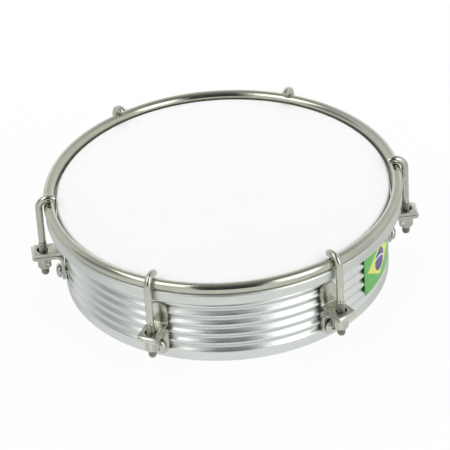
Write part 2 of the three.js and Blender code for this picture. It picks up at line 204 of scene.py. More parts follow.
def discard(*used):
    for piece in used:
        mesh = piece.data
        bpy.data.objects.remove(piece)
        bpy.data.meshes.remove(mesh)


def shaped(bm, *steps):
    """The blank after its modifiers: each step is a kind of modifier and its settings."""
    blank = as_object("blank", bm)
    for kind, settings in steps:
        modifier = blank.modifiers.new(kind.lower(), kind)
        for name, value in settings.items():
            setattr(modifier, name, value)
    ready = blank.evaluated_get(bpy.context.evaluated_depsgraph_get())
    result = bmesh.new()
    result.from_mesh(ready.data)
    discard(blank)
    return result


def carved(bm, *cuts):
    """The blank after boolean cuts: each cut is an operation and the tool's bmesh."""
    tools = [as_object("tool", tool) for _, tool in cuts]
    steps = [("BOOLEAN", {"operation": operation, "solver": "EXACT", "object": tool})
             for (operation, _), tool in zip(cuts, tools)]
    result = shaped(bm, *steps)
    discard(*tools)
    bmesh.ops.remove_doubles(result, verts=result.verts[:], dist=MERGE_DISTANCE)
    return result


def eased(bm, width):
    """Rounds every sharp edge a little, as a deburred edge is."""
    return shaped(bm, ("BEVEL", {"width": width, "segments": EASED_SEGMENTS, "limit_method": "ANGLE",
                                 "angle_limit": SMOOTH_ANGLE}))


def thickened(bm, thickness, offset):
    """A sheet given its thickness: offset 0 lays it on both sides, and 1 on the outside."""
    thick = shaped(bm, ("SOLIDIFY", {"thickness": thickness, "offset": offset, "use_even_offset": True}))
    bmesh.ops.recalc_face_normals(thick, faces=thick.faces[:])
    return thick


def cylinder(radius, low, high, sides):
    bm = bmesh.new()
    bmesh.ops.create_cone(bm, cap_ends=True, segments=sides, radius1=radius, radius2=radius,
                          depth=high - low, matrix=Matrix.Translation((0, 0, (low + high) / 2)))
    return bm


# %% [markdown]
# A finish is more than one colour. Plated and turned metal has fine lines or a faint grain, cloudy
# patches where it was handled, and brighter edges where the plating was rubbed. Each of these effects
# is a small node group that puts out a mask or a height, so that every material can use the same one
# at its own strength. They read the piece's own coordinates, so nothing slides when the drum turns.

# %% Helpers for nodes
SHARE_SOCKET, FIRST_COLOUR_SOCKET, SECOND_COLOUR_SOCKET = 0, 6, 7
MIXED_COLOUR_SOCKET = 2


def add_node(tree, kind, wires=None, **settings):
    """One shader node. A wire is a value, or another node's output that is linked to that input."""
    made = tree.nodes.new(kind)
    for name, value in settings.items():
        setattr(made, name, value)
    for name, value in (wires or {}).items():
        if isinstance(value, bpy.types.NodeSocket):
            tree.links.new(value, made.inputs[name])
        else:
            made.inputs[name].default_value = value
    return made


def maths(tree, operation, *values):
    return add_node(tree, "ShaderNodeMath", dict(enumerate(values)), operation=operation).outputs[0]


def vector_maths(tree, operation, *vectors):
    """The number that an operation makes of one or two vectors."""
    made = add_node(tree, "ShaderNodeVectorMath", dict(enumerate(vectors)), operation=operation)
    return made.outputs["Value"]


def span(tree, value, low, high, to_low, to_high, smooth=False):
    """Carries a value from one range to another, held at both ends."""
    wires = {"Value": value, "From Min": low, "From Max": high, "To Min": to_low, "To Max": to_high}
    curve = "SMOOTHSTEP" if smooth else "LINEAR"
    return add_node(tree, "ShaderNodeMapRange", wires, interpolation_type=curve).outputs["Result"]


def mix_colour(tree, share, first, second):
    wires = {SHARE_SOCKET: share, FIRST_COLOUR_SOCKET: first, SECOND_COLOUR_SOCKET: second}
    return add_node(tree, "ShaderNodeMix", wires, data_type="RGBA").outputs[MIXED_COLOUR_SOCKET]


def noise(tree, where, scale, look, fourth=None):
    """A cloudy pattern between 0 and 1. A fourth coordinate can be given as well."""
    wires = {"Vector": where, "Scale": scale, **look}
    if fourth is not None:
        wires["W"] = fourth
    dimensions = "3D" if fourth is None else "4D"
    return add_node(tree, "ShaderNodeTexNoise", wires, noise_dimensions=dimensions).outputs["Fac"]


def own_place(tree):
    """The piece's own coordinates."""
    return add_node(tree, "ShaderNodeTexCoord").outputs["Object"]


def place_parts(tree):
    """The three parts of the piece's own coordinates, and the distance from the drum's axis."""
    x, y, z = add_node(tree, "ShaderNodeSeparateXYZ", {0: own_place(tree)}).outputs
    flat = add_node(tree, "ShaderNodeCombineXYZ", {0: x, 1: y}).outputs[0]
    return x, y, z, vector_maths(tree, "LENGTH", flat)


def new_group(name, inputs, outputs):
    """A node group whose inputs and outputs are numbers, with its inputs' starting values."""
    tree = bpy.data.node_groups.new(name, "ShaderNodeTree")
    for label, start in inputs.items():
        tree.interface.new_socket(label, in_out="INPUT", socket_type="NodeSocketFloat").default_value = start
    for label in outputs:
        tree.interface.new_socket(label, in_out="OUTPUT", socket_type="NodeSocketFloat")
    return tree, tree.nodes.new("NodeGroupInput").outputs


# %% Lathe lines
LINE_STARTS = {"Spacing": 0.2 * MM, "Drift": 2.0}
LINE_LOOK = {"Detail": 3.0, "Roughness": 0.6}
TONE_LOOK = {"Detail": 2.0}
TONE_STRETCH = (0.12, 0.12, 1.0)


def make_lathe_lines():
    """Fine lines round the drum's axis, left by a roller or a lathe tool."""
    tree, entry = new_group("lathe lines", LINE_STARTS, ["Line height", "Tone"])
    x, y, z, radius = place_parts(tree)
    across = maths(tree, "DIVIDE", radius, entry["Spacing"])
    upward = maths(tree, "DIVIDE", z, entry["Spacing"])
    round_x, round_y = [maths(tree, "MULTIPLY", maths(tree, "DIVIDE", part, radius), entry["Drift"])
                        for part in (x, y)]
    where = add_node(tree, "ShaderNodeCombineXYZ", {0: across, 1: upward, 2: round_x}).outputs[0]
    slow = add_node(tree, "ShaderNodeVectorMath", {0: where, 1: TONE_STRETCH}, operation="MULTIPLY")
    add_node(tree, "NodeGroupOutput", {"Line height": noise(tree, where, 1.0, LINE_LOOK, round_y),
                                       "Tone": noise(tree, slow.outputs[0], 1.0, TONE_LOOK, round_y)})
    return tree


lathe_lines = make_lathe_lines()


# %% Plated skin
SKIN_STARTS = {"Grain scale": 900.0, "Cloud scale": 55.0}
GRAIN_LOOK = {"Detail": 2.0}
CLOUD_LOOK = {"Detail": 4.0, "Roughness": 0.6, "Distortion": 0.6}
NOISE_MIDDLE = (0.3, 0.7)
PIT_RIM = (0.05, 0.16)
PITTED_GRAIN = (0.56, 0.66)


def make_plated_skin():
    """The faint waviness, cloudiness and pits of electroplated metal."""
    tree, entry = new_group("plated skin", SKIN_STARTS, ["Grain height", "Cloud", "Pits"])
    place = own_place(tree)
    grain = noise(tree, place, entry["Grain scale"], GRAIN_LOOK)
    cloud = noise(tree, place, entry["Cloud scale"], CLOUD_LOOK)
    cells = add_node(tree, "ShaderNodeTexVoronoi", {"Vector": place, "Scale": entry["Grain scale"]})
    pits = span(tree, cells.outputs["Distance"], *PIT_RIM, 1.0, 0.0, smooth=True)
    sparse = span(tree, grain, *PITTED_GRAIN, 0.0, 1.0)
    add_node(tree, "NodeGroupOutput", {"Grain height": grain,
                                       "Cloud": span(tree, cloud, *NOISE_MIDDLE, 0.0, 1.0),
                                       "Pits": maths(tree, "MULTIPLY", pits, sparse)})
    return tree


plated_skin = make_plated_skin()


# %% Handling marks
MARK_STARTS = {"Smudge scale": 40.0, "Scratch scale": 60.0}
SMUDGE_LOOK = {"Detail": 5.0, "Distortion": 1.2}
SMUDGED = (0.5, 0.72)
SCRATCH_LOOK = {"Detail": 1.0}
SCRATCHED = (0.70, 0.74)
SCRATCH_STRETCH = (18.0, 0.7, 18.0)
SCRATCH_TURNS = ((0.5, 0.9, 0.3), (1.7, 0.2, 1.1))


def make_handling_marks():
    """Smudges from fingers, and hairline scratches in two directions."""
    tree, entry = new_group("handling marks", MARK_STARTS, ["Smudge", "Scratch"])
    place = own_place(tree)
    blots = noise(tree, place, entry["Smudge scale"], SMUDGE_LOOK)
    scratches = []
    for turn in SCRATCH_TURNS:
        turned = add_node(tree, "ShaderNodeMapping",
                          {"Vector": place, "Rotation": turn, "Scale": SCRATCH_STRETCH})
        streaks = noise(tree, turned.outputs[0], entry["Scratch scale"], SCRATCH_LOOK)
        scratches.append(span(tree, streaks, *SCRATCHED, 0.0, 1.0, smooth=True))
    add_node(tree, "NodeGroupOutput", {"Smudge": span(tree, blots, *SMUDGED, 0.0, 1.0, smooth=True),
                                       "Scratch": maths(tree, "MAXIMUM", *scratches)})
    return tree


handling_marks = make_handling_marks()


# %% Rubbed edges
WEAR_STARTS = {"Start": 0.515, "Full": 0.56}
PATCH_SCALE = 260.0
PATCH_LOOK = {"Detail": 3.0}
PATCH_RANGE = (0.35, 0.6)
LEAST_WEAR = 0.35


def make_rubbed_edges():
    """Where the surface bends outwards sharply, so that hands and cloths rub it bright."""
    tree, entry = new_group("rubbed edges", WEAR_STARTS, ["Wear"])
    bend = add_node(tree, "ShaderNodeNewGeometry").outputs["Pointiness"]
    sharp = span(tree, bend, entry["Start"], entry["Full"], 0.0, 1.0)
    patchy = noise(tree, own_place(tree), PATCH_SCALE, PATCH_LOOK)
    broken = span(tree, patchy, *PATCH_RANGE, LEAST_WEAR, 1.0)
    add_node(tree, "NodeGroupOutput", {"Wear": maths(tree, "MULTIPLY", sharp, broken)})
    return tree


rubbed_edges = make_rubbed_edges()
print("node groups:", ", ".join(group.name for group in bpy.data.node_groups))

# %% [markdown]
# Each material keeps its shader to itself and takes masks and heights from the groups. A value that is
# the same all over, such as how metallic a piece is, is set straight on the shader's socket, and
# only what varies over the surface is linked. Every finish ends in the same three links: a colour, a
# roughness, and bumps that lie over each other.

# %% Helpers for materials
def colour(red, green, blue):
    return (red, green, blue, 1.0)


def new_material(name, **plain):
    """A material with one shader, whose plain values are set by the names of their sockets."""
    material = bpy.data.materials.new(name)
    material.use_nodes = True
    tree = material.node_tree
    shader = tree.nodes["Principled BSDF"]
    for label, value in plain.items():
        shader.inputs[label.replace("_", " ")].default_value = value
    return material, tree, shader


def use_groups(tree, scales, *groups):
    """Places the groups, sets the inputs that the scales name, and hands back all outputs by name."""
    effects = {}
    for group in groups:
        made = add_node(tree, "ShaderNodeGroup", node_tree=group)
        for entry in made.inputs:
            entry.default_value = scales.get(entry.name, entry.default_value)
        effects.update(made.outputs.items())
    return effects


def added(tree, value, *masks):
    """The value, raised by a share of each mask; the masks come as (mask, share)."""
    for mask, share in masks:
        value = maths(tree, "ADD", value, maths(tree, "MULTIPLY", mask, share))
    return value


def dress(tree, shader, base, roughness, *heights):
    """Links the shader. The heights come as (height, depth), and a dent's depth is below zero."""
    linked = {"Base Color": base, "Roughness": roughness}
    below = {}
    for height, depth in heights:
        made = add_node(tree, "ShaderNodeBump", {"Height": height, "Distance": depth, **below})
        below = {"Normal": made.outputs["Normal"]}
    for label, value in {**linked, **below}.items():
        tree.links.new(value, shader.inputs[label])


def worn_colour(tree, effects, tints, rubbed):
    """A clouded surface, paler where its edges are rubbed."""
    return mix_colour(tree, effects["Wear"], mix_colour(tree, effects["Cloud"], *tints), rubbed)


# %% Aluminium finishes
SHELL_SCALES = {"Spacing": 0.16 * MM, "Drift": 1.5, "Grain scale": 1400.0, "Cloud scale": 30.0,
                "Smudge scale": 26.0, "Scratch scale": 34.0}
SHELL_TINTS = (colour(0.745, 0.78, 0.757), colour(0.69, 0.72, 0.698))
SHELL_ROUGHNESS = (0.24, 0.31)
SHELL_SMUDGE = 0.06
SHELL_LINE_DEPTH = 0.04 * MM
SHELL_SCRATCH_DEPTH = -0.006 * MM
# Painted shade: down in the grooves a flat tone replaces the clouded tint, and the surface there is duller.
GROOVE_PAINTED_SHADE = colour(0.73, 0.765, 0.74)
GROOVE_PAINTED_SHADE_REACH = 0.55 * MM
GROOVE_PAINTED_SHADE_SHARE = 0.8
GROOVE_DULLING = 0.12
BAND_SCALES = {"Spacing": 0.1 * MM, "Drift": 2.5, "Grain scale": 1200.0, "Cloud scale": 45.0,
               "Smudge scale": 32.0, "Scratch scale": 40.0}
BAND_TINTS = (colour(0.686, 0.714, 0.682), colour(0.626, 0.652, 0.618))
BAND_RUBBED = colour(0.86, 0.87, 0.85)
BAND_ROUGHNESS = (0.34, 0.42)
BAND_SMUDGE = 0.08
BAND_LINE_DEPTH = 0.006 * MM


def make_shell_aluminium():
    """Satin rolled sheet: lines round it, and a painted shade and duller roughness down in the grooves."""
    material, tree, shader = new_material("satin aluminium", Metallic=1.0)
    effects = use_groups(tree, SHELL_SCALES, lathe_lines, plated_skin, handling_marks)
    radius = place_parts(tree)[-1]
    # This mask marks the grooves: shade is painted in there and the roughness is raised.
    film = span(tree, radius, GROOVE_RADIUS, GROOVE_RADIUS + GROOVE_PAINTED_SHADE_REACH, GROOVE_PAINTED_SHADE_SHARE, 0.0,
                smooth=True)
    tinted = mix_colour(tree, effects["Cloud"], *SHELL_TINTS)
    satin = span(tree, effects["Tone"], *NOISE_MIDDLE, *SHELL_ROUGHNESS)
    dress(tree, shader, mix_colour(tree, film, tinted, GROOVE_PAINTED_SHADE),
          added(tree, satin, (effects["Smudge"], SHELL_SMUDGE), (film, GROOVE_DULLING)),
          (effects["Line height"], SHELL_LINE_DEPTH), (effects["Scratch"], SHELL_SCRATCH_DEPTH))
    return material


def make_band_aluminium():
    """Drawn strip: duller than the shell, with fainter lines along it."""
    material, tree, shader = new_material("drawn aluminium", Metallic=1.0)
    effects = use_groups(tree, BAND_SCALES, lathe_lines, plated_skin, handling_marks, rubbed_edges)
    satin = span(tree, effects["Tone"], *NOISE_MIDDLE, *BAND_ROUGHNESS)
    dress(tree, shader, worn_colour(tree, effects, BAND_TINTS, BAND_RUBBED),
          added(tree, satin, (effects["Smudge"], BAND_SMUDGE)), (effects["Line height"], BAND_LINE_DEPTH))
    return material


shell_aluminium = make_shell_aluminium()
band_aluminium = make_band_aluminium()

# %% Nickel finishes
NICKEL_SCALES = {"Grain scale": 700.0, "Cloud scale": 70.0, "Smudge scale": 48.0, "Scratch scale": 55.0}
NICKEL_TINTS = (colour(0.52, 0.525, 0.445), colour(0.46, 0.465, 0.39))
NICKEL_RUBBED = colour(0.66, 0.66, 0.585)
NICKEL_SMUDGE = 0.10
NICKEL_PIT_DULLING = 0.25
NICKEL_PIT_DEPTH = -0.004 * MM
NICKEL_SCRATCH_DEPTH = -0.003 * MM
NICKEL_DIRT_SHARE = 0.75
NICKEL_DIRT_DULLING = 0.25
DIRT_ATTRIBUTE = "thread_dirt"
THREAD_DIRT = colour(0.16, 0.155, 0.135)

# Each kind of nickel has its range of roughness and the depth of its grain.
NICKEL_KINDS = {"hoop nickel": ((0.09, 0.15), 0.006 * MM),
                "hook nickel": ((0.12, 0.22), 0.008 * MM),
                "pressed nickel": ((0.20, 0.30), 0.004 * MM)}


def dirtied(tree, plate, share):
    """The plate with dirt and oil in its threads, where an attribute says so, and that mask."""
    dirt = add_node(tree, "ShaderNodeAttribute", attribute_name=DIRT_ATTRIBUTE).outputs["Fac"]
    return mix_colour(tree, maths(tree, "MULTIPLY", dirt, share), plate, THREAD_DIRT), dirt


def make_nickel(name, threaded=False):
    """Bright nickel plate."""
    material, tree, shader = new_material(name, Metallic=1.0)
    roughness, grain_depth = NICKEL_KINDS[name]
    effects = use_groups(tree, NICKEL_SCALES, plated_skin, handling_marks, rubbed_edges)
    plate = worn_colour(tree, effects, NICKEL_TINTS, NICKEL_RUBBED)
    rough = added(tree, span(tree, effects["Cloud"], 0.0, 1.0, *roughness),
                  (effects["Smudge"], NICKEL_SMUDGE), (effects["Pits"], NICKEL_PIT_DULLING))
    if threaded:
        plate, dirt = dirtied(tree, plate, NICKEL_DIRT_SHARE)
        rough = added(tree, rough, (dirt, NICKEL_DIRT_DULLING))
    dress(tree, shader, plate, rough, (effects["Grain height"], grain_depth),
          (effects["Pits"], NICKEL_PIT_DEPTH), (effects["Scratch"], NICKEL_SCRATCH_DEPTH))
    return material


hoop_nickel = make_nickel("hoop nickel")
hook_nickel = make_nickel("hook nickel", threaded=True)
sheet_nickel = make_nickel("pressed nickel")

# %% Zinc finish
ZINC_SCALES = {"Grain scale": 1100.0, "Cloud scale": 120.0}
ZINC_TINTS = (colour(0.60, 0.605, 0.555), colour(0.52, 0.525, 0.48))
ZINC_RUBBED = colour(0.74, 0.74, 0.695)
ZINC_ROUGHNESS = (0.20, 0.34)
ZINC_DIRT_SHARE = 0.7
ZINC_GRAIN_DEPTH = 0.010 * MM
ZINC_PIT_DEPTH = -0.010 * MM


def make_zinc():
    """Bright zinc plate on the bolts, washers and inner nuts, whiter and duller than the nickel."""
    material, tree, shader = new_material("zinc plate", Metallic=1.0)
    effects = use_groups(tree, ZINC_SCALES, plated_skin, rubbed_edges)
    plate, _ = dirtied(tree, worn_colour(tree, effects, ZINC_TINTS, ZINC_RUBBED), ZINC_DIRT_SHARE)
    dress(tree, shader, plate, span(tree, effects["Cloud"], 0.0, 1.0, *ZINC_ROUGHNESS),
          (effects["Grain height"], ZINC_GRAIN_DEPTH), (effects["Pits"], ZINC_PIT_DEPTH))
    return material


zinc_plate = make_zinc()

# %% [markdown]
# The head is opaque white polyester film. Under a lamp it looks plain, but close up it has a fine
# satin tooth, and sticks leave faint grey rubs around the middle.

# %% Film finish
FILM_SCALES = {"Grain scale": 2600.0, "Cloud scale": 22.0, "Smudge scale": 55.0, "Scratch scale": 45.0}
FILM_TINTS = (colour(0.93, 0.935, 0.93), colour(0.885, 0.89, 0.885))
FILM_ROUGHNESS = (0.36, 0.46)
FILM_SPECULAR = 0.45
FILM_TOOTH_DEPTH = 0.006 * MM
FILM_SCRATCH_DEPTH = -0.003 * MM
STRUCK_RADIUS = 52 * MM
STRUCK_SHARE = 0.35
CLOUDED_SHARE = 0.12


def make_film():
    material, tree, shader = new_material("white film", Specular_IOR_Level=FILM_SPECULAR)
    effects = use_groups(tree, FILM_SCALES, handling_marks, plated_skin)
    struck = span(tree, place_parts(tree)[-1], 0.0, STRUCK_RADIUS, STRUCK_SHARE, 0.0, smooth=True)
    drift = added(tree, maths(tree, "MULTIPLY", struck, effects["Smudge"]),
                  (effects["Cloud"], CLOUDED_SHARE))
    dress(tree, shader, mix_colour(tree, drift, *FILM_TINTS),
          span(tree, effects["Cloud"], 0.0, 1.0, *FILM_ROUGHNESS),
          (effects["Grain height"], FILM_TOOTH_DEPTH), (effects["Scratch"], FILM_SCRATCH_DEPTH))
    return material


white_film = make_film()

# %% [markdown]
# The sticker is the Brazilian flag on glossy vinyl. A picture could be mapped on it, but the flag has
# an exact geometry in modules, fourteen high and twenty wide, so a node group draws it: it measures how
# far round the shell and how high up a point lies, and compares that with a rhombus, a disc and a band
# between two circles.

# %% Flag pattern
STICKER_HEIGHT = 22.5 * MM
STICKER_TURN = math.radians(-23.5)
STICKER_RADIUS = SHELL_RADIUS + 0.3 * MM
STICKER_Z = 19.1 * MM
FLAG_MODULES_HIGH = 14
FLAG_MODULES_WIDE = 20
FLAG_TIP_MARGIN = 1.7
FLAG_DISC_RADIUS = 3.5
FLAG_BAND_CENTRE = (-2.0, -7.0, 0.0)
FLAG_BAND_INNER = 8.0
FLAG_BAND_OUTER = 8.5
INK_EDGE = 0.04
STICKER_WIDTH = STICKER_HEIGHT * FLAG_MODULES_WIDE / FLAG_MODULES_HIGH
MODULE = STICKER_HEIGHT / FLAG_MODULES_HIGH


def inked(tree, distance, edge):
    """1 within the edge of a printed form and 0 beyond it, with the ink's own soft line between."""
    return span(tree, distance, edge - INK_EDGE, edge + INK_EDGE, 1.0, 0.0)


def make_flag_pattern():
    """Masks of the rhombus, the disc and the band, from the place on the shell, in modules."""
    tree, _ = new_group("flag pattern", {}, ["Rhombus", "Disc", "Band"])
    x, y, z, _ = place_parts(tree)
    bearing = maths(tree, "SUBTRACT", maths(tree, "ARCTAN2", y, x), STICKER_TURN)
    along = maths(tree, "MULTIPLY", bearing, STICKER_RADIUS / MODULE)
    above = maths(tree, "DIVIDE", maths(tree, "SUBTRACT", z, STICKER_Z), MODULE)
    half_wide = FLAG_MODULES_WIDE / 2 - FLAG_TIP_MARGIN
    half_high = FLAG_MODULES_HIGH / 2 - FLAG_TIP_MARGIN
    slant = added(tree, maths(tree, "ABSOLUTE", above),
                  (maths(tree, "ABSOLUTE", along), half_high / half_wide))
    spot = add_node(tree, "ShaderNodeCombineXYZ", {0: along, 1: above}).outputs[0]
    from_band = vector_maths(tree, "DISTANCE", spot, FLAG_BAND_CENTRE)
    band = maths(tree, "SUBTRACT", inked(tree, from_band, FLAG_BAND_OUTER),
                 inked(tree, from_band, FLAG_BAND_INNER))
    disc = inked(tree, vector_maths(tree, "LENGTH", spot), FLAG_DISC_RADIUS)
    add_node(tree, "NodeGroupOutput", {"Rhombus": inked(tree, slant, half_high), "Disc": disc, "Band": band})
    return tree


# %% Flag finish
PRINT_SCALES = {"Grain scale": 3200.0, "Cloud scale": 160.0}
GREEN_INKS = (colour(0.12, 0.47, 0.105), colour(0.15, 0.52, 0.13))
YELLOW_INKS = (colour(0.80, 0.80, 0.12), colour(0.84, 0.84, 0.16))
BLUE_INKS = (colour(0.06, 0.055, 0.25), colour(0.08, 0.075, 0.29))
BAND_INK = colour(0.82, 0.82, 0.86)
PRINT_ROUGHNESS = (0.28, 0.38)
PRINT_SPECULAR = 0.35
PRINT_COAT = 0.1
PRINT_COAT_ROUGHNESS = 0.12
PRINT_GRAIN_DEPTH = 0.004 * MM


def make_flag_print():
    """Glossy vinyl, printed with slightly uneven ink."""
    material, tree, shader = new_material("flag print", Specular_IOR_Level=PRINT_SPECULAR,
                                          Coat_Weight=PRINT_COAT, Coat_Roughness=PRINT_COAT_ROUGHNESS)
    effects = use_groups(tree, PRINT_SCALES, make_flag_pattern(), plated_skin)
    green, yellow, blue = [mix_colour(tree, effects["Cloud"], *inks)
                           for inks in (GREEN_INKS, YELLOW_INKS, BLUE_INKS)]
    field = mix_colour(tree, effects["Rhombus"], green, yellow)
    disc = mix_colour(tree, effects["Band"], blue, BAND_INK)
    dress(tree, shader, mix_colour(tree, effects["Disc"], field, disc),
          span(tree, effects["Cloud"], 0.0, 1.0, *PRINT_ROUGHNESS),
          (effects["Grain height"], PRINT_GRAIN_DEPTH))
    return material


flag_print_vinyl = make_flag_print()
print("materials:", ", ".join(material.name for material in bpy.data.materials))

# %% [markdown]
# Every finished piece goes through one function. It gives the piece smooth faces with sharp edges where
# the surface really turns, sets which body it moves with and which finish it takes, and hides the solid
# it stands for. Pieces of a station are made once, where the station would face +X, and then a
# turned copy of the mesh is placed at each station.

# %% Helpers for finished pieces
# Carries a piece made about the Z axis, with its outer end up, to point outwards at a bolt.
LAY_RADIALLY = Matrix.Translation((0, 0, BOLT_Z)) @ rotation(math.pi / 2, "Y")
# Carries a piece made about the Z axis to a hook's axis.
TO_HOOK_AXIS = Matrix.Translation((HOOK_AXIS_RADIUS, 0, 0))


def finish_piece(name, bm, body, node, material):
    leaks = sum(not edge.is_manifold for edge in bm.edges)
    print(f"{name}: {len(bm.faces)} faces, {leaks} open edges")
    piece = as_object(name, bm)
    piece.data.shade_smooth()
    piece.data.set_sharp_from_angle(angle=SMOOTH_ANGLE)
    piece.data.materials.append(material)
    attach(piece, body)
    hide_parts(node)


def at_station(station):
    return rotation(FIRST_STATION_TURN + station * FULL_TURN / STATION_COUNT)


def finish_at_stations(name, master, body, node, material, lay=Matrix(), twist=0.0):
    """A copy of the master at each station, laid, and twisted by one more step each time. Body and
    node may hold {} for the station's number."""
    for station in range(STATION_COUNT):
        place = at_station(station) @ lay @ rotation(station * twist)
        number = station + 1
        finish_piece(f"{name}_{number}", moved(master.copy(), place), body.format(number),
                     node.format(number), material)
    master.free()


# %% [markdown]
# The shell is a strip of aluminium rolled to a ring, with five ribs pressed round it, so its inside
# follows its outside. Each wall is drawn as a zigzag of straight flanks, and a vertex bevel rounds it.
# The crests' rounding is chosen, and that of the grooves follows from the ribs' depth. The flanks that
# face upwards mirror the lamps, which gives the ribs their bright and dark lines. The upper edge is
# turned in slightly, because the film has to slide over it without a crease.

# %% Ribbed shell
FLANK_TURN = math.radians(47)
CREST_RADIUS = 1.2 * MM
CREST_SEGMENTS = 8
GROOVE_SEGMENTS = 6
BAND_ROUNDING = 0.5 * MM
EDGE_TURNED_IN = 0.45 * MM
EDGE_TURN_HEIGHT = 1.2 * MM
SHELL_EDGE_ROUNDING = 0.25 * MM
SHELL_TOP_ROUNDING = 0.6 * MM
BOLT_HOLE_RADIUS = BOLT_RADIUS + 0.3 * MM
SHELL_HOLE_SIDES = 24
CUT_OVERRUN = 2 * MM

# Rounding a corner between two flanks lowers it by this share of the rounding's radius.
LOWERED_SHARE = 1 / math.cos(FLANK_TURN) - 1
ZIGZAG_DEPTH = RIB_PITCH / 2 * math.tan(FLANK_TURN)
VALLEY_RADIUS = (ZIGZAG_DEPTH - RIB_DEPTH) / LOWERED_SHARE - CREST_RADIUS
SHARP_CREST = SHELL_RADIUS + CREST_RADIUS * LOWERED_SHARE
SHARP_GROOVE = SHARP_CREST - ZIGZAG_DEPTH
SHOULDER = (SHELL_RADIUS - SHARP_GROOVE) / math.tan(FLANK_TURN)


def wall_corners(inset):
    """Sharp corners up one wall: the low band, five ribs, the high band and the turned edge."""
    grooves_z = [LOWEST_GROOVE_Z + rib * RIB_PITCH for rib in range(RIB_COUNT + 1)]
    band = SHELL_RADIUS - inset
    corners = [(band, 0), (band, grooves_z[0] - SHOULDER)]
    for z in grooves_z[:-1]:
        corners += [(SHARP_GROOVE - inset, z), (SHARP_CREST - inset, z + RIB_PITCH / 2)]
    corners += [(SHARP_GROOVE - inset, grooves_z[-1]), (band, grooves_z[-1] + SHOULDER)]
    return corners + [(band, SHELL_HEIGHT - EDGE_TURN_HEIGHT), (band - EDGE_TURNED_IN, SHELL_HEIGHT)]


def make_ribbed_shell():
    outer = wall_corners(0)
    inner = wall_corners(SHELL_WALL)
    bm, verts = wire(outer + inner[::-1], closed=True)
    walls = [verts[:len(outer)], verts[len(outer):][::-1]]
    round_corners(bm, [walls[0][-1]], SHELL_TOP_ROUNDING)
    round_corners(bm, [walls[0][0], walls[1][0], walls[1][-1]], SHELL_EDGE_ROUNDING)
    for wall in walls:
        round_corners(bm, [wall[1], wall[-2], wall[-3]], BAND_ROUNDING)
        round_corners(bm, wall[2:-3:2], VALLEY_RADIUS * math.tan(FLANK_TURN), GROOVE_SEGMENTS)
        round_corners(bm, wall[3:-3:2], CREST_RADIUS * math.tan(FLANK_TURN), CREST_SEGMENTS)
    spin_round(bm)
    cuts = []
    for station in range(STATION_COUNT):
        drill = cylinder(BOLT_HOLE_RADIUS, SHELL_INSIDE - CUT_OVERRUN, SHELL_RADIUS + CUT_OVERRUN,
                         SHELL_HOLE_SIDES)
        cuts.append(("DIFFERENCE", moved(drill, at_station(station) @ LAY_RADIALLY)))
    return carved(bm, *cuts)


finish_piece("ribbed_shell", make_ribbed_shell(), "drum", "shell", shell_aluminium)

# %% [markdown]
# The head is one sheet of film: flat on top, bent over the shell's edge and down inside the band. A
# cloth simulation would be wasted on it, because a tuned film is flat, so it is turned from its
# outline. The bend is tight, so that the head stays flat and white right up to the hoop.

# %% White head
FILM_THICKNESS = 0.3 * MM
FILM_TOP_Z = 43.75 * MM
FILM_OUTER_RADIUS = 77.6 * MM
FILM_SKIRT_LOW_Z = 38.1 * MM
FILM_BEND = 1.5 * MM
FILM_FLAT_RINGS = 5
ROLL_SEGMENTS = 10


def make_white_head():
    under_z = FILM_TOP_Z - FILM_THICKNESS
    inner_radius = FILM_OUTER_RADIUS - FILM_THICKNESS
    flat_radii = [inner_radius * ring / (FILM_FLAT_RINGS + 1) for ring in range(FILM_FLAT_RINGS + 1)]
    top = [(radius, FILM_TOP_Z) for radius in flat_radii]
    underside = [(radius, under_z) for radius in reversed(flat_radii)]
    outer = [(FILM_OUTER_RADIUS, FILM_TOP_Z), (FILM_OUTER_RADIUS, FILM_SKIRT_LOW_Z)]
    inner = [(inner_radius, FILM_SKIRT_LOW_Z), (inner_radius, under_z)]
    bm, verts = wire(top + outer + inner + underside, closed=False)
    round_corners(bm, [verts[len(top)]], FILM_BEND, ROLL_SEGMENTS)
    round_corners(bm, [verts[len(top) + 3]], FILM_BEND - FILM_THICKNESS, ROLL_SEGMENTS)
    return spin_round(bm)


finish_piece("white_head", make_white_head(), "drum", "head_film", white_film)

# %% [markdown]
# The band holds the film's edge. On a bought head it is a closed channel of drawn aluminium, so what
# shows is a smooth ring. Its upper outer corner is rolled over in a wide curve, and the round hoop
# rests beside that curve. Its lower edge is nearly square.

# %% Head band
BAND_INSIDE = 77.95 * MM
BAND_OUTSIDE = 82.9 * MM
BAND_TOP_Z = 41.0 * MM
BAND_LOW_Z = 35.9 * MM
BAND_ROLLED_ROUNDING = 1.2 * MM
BAND_LOW_ROUNDING = 0.15 * MM
BAND_INNER_ROUNDING = 0.5 * MM


def make_head_band():
    bm, verts = wire([(BAND_INSIDE, BAND_LOW_Z), (BAND_OUTSIDE, BAND_LOW_Z),
                      (BAND_OUTSIDE, BAND_TOP_Z), (BAND_INSIDE, BAND_TOP_Z)], closed=True)
    round_corners(bm, [verts[0], verts[3]], BAND_INNER_ROUNDING)
    round_corners(bm, [verts[1]], BAND_LOW_ROUNDING)
    round_corners(bm, [verts[2]], BAND_ROLLED_ROUNDING, ROLL_SEGMENTS)
    return spin_round(bm)


finish_piece("head_band", make_head_band(), "hoop_set", "flesh_hoop", band_aluminium)

# %% [markdown]
# The hoop is a round steel rod bent to a ring, welded end to end, ground and plated. It is a circle
# spun round the axis. The weld is at the back: a low swelling there is made by scaling the few rings
# of points near it.

# %% Round hoop
HOOP_STEPS = 288
HOOP_SECTION_SIDES = 32
WELD_TURN = math.radians(97)
WELD_HALF_LENGTH = 2.4 * MM
WELD_SWELL_SHARE = 0.035


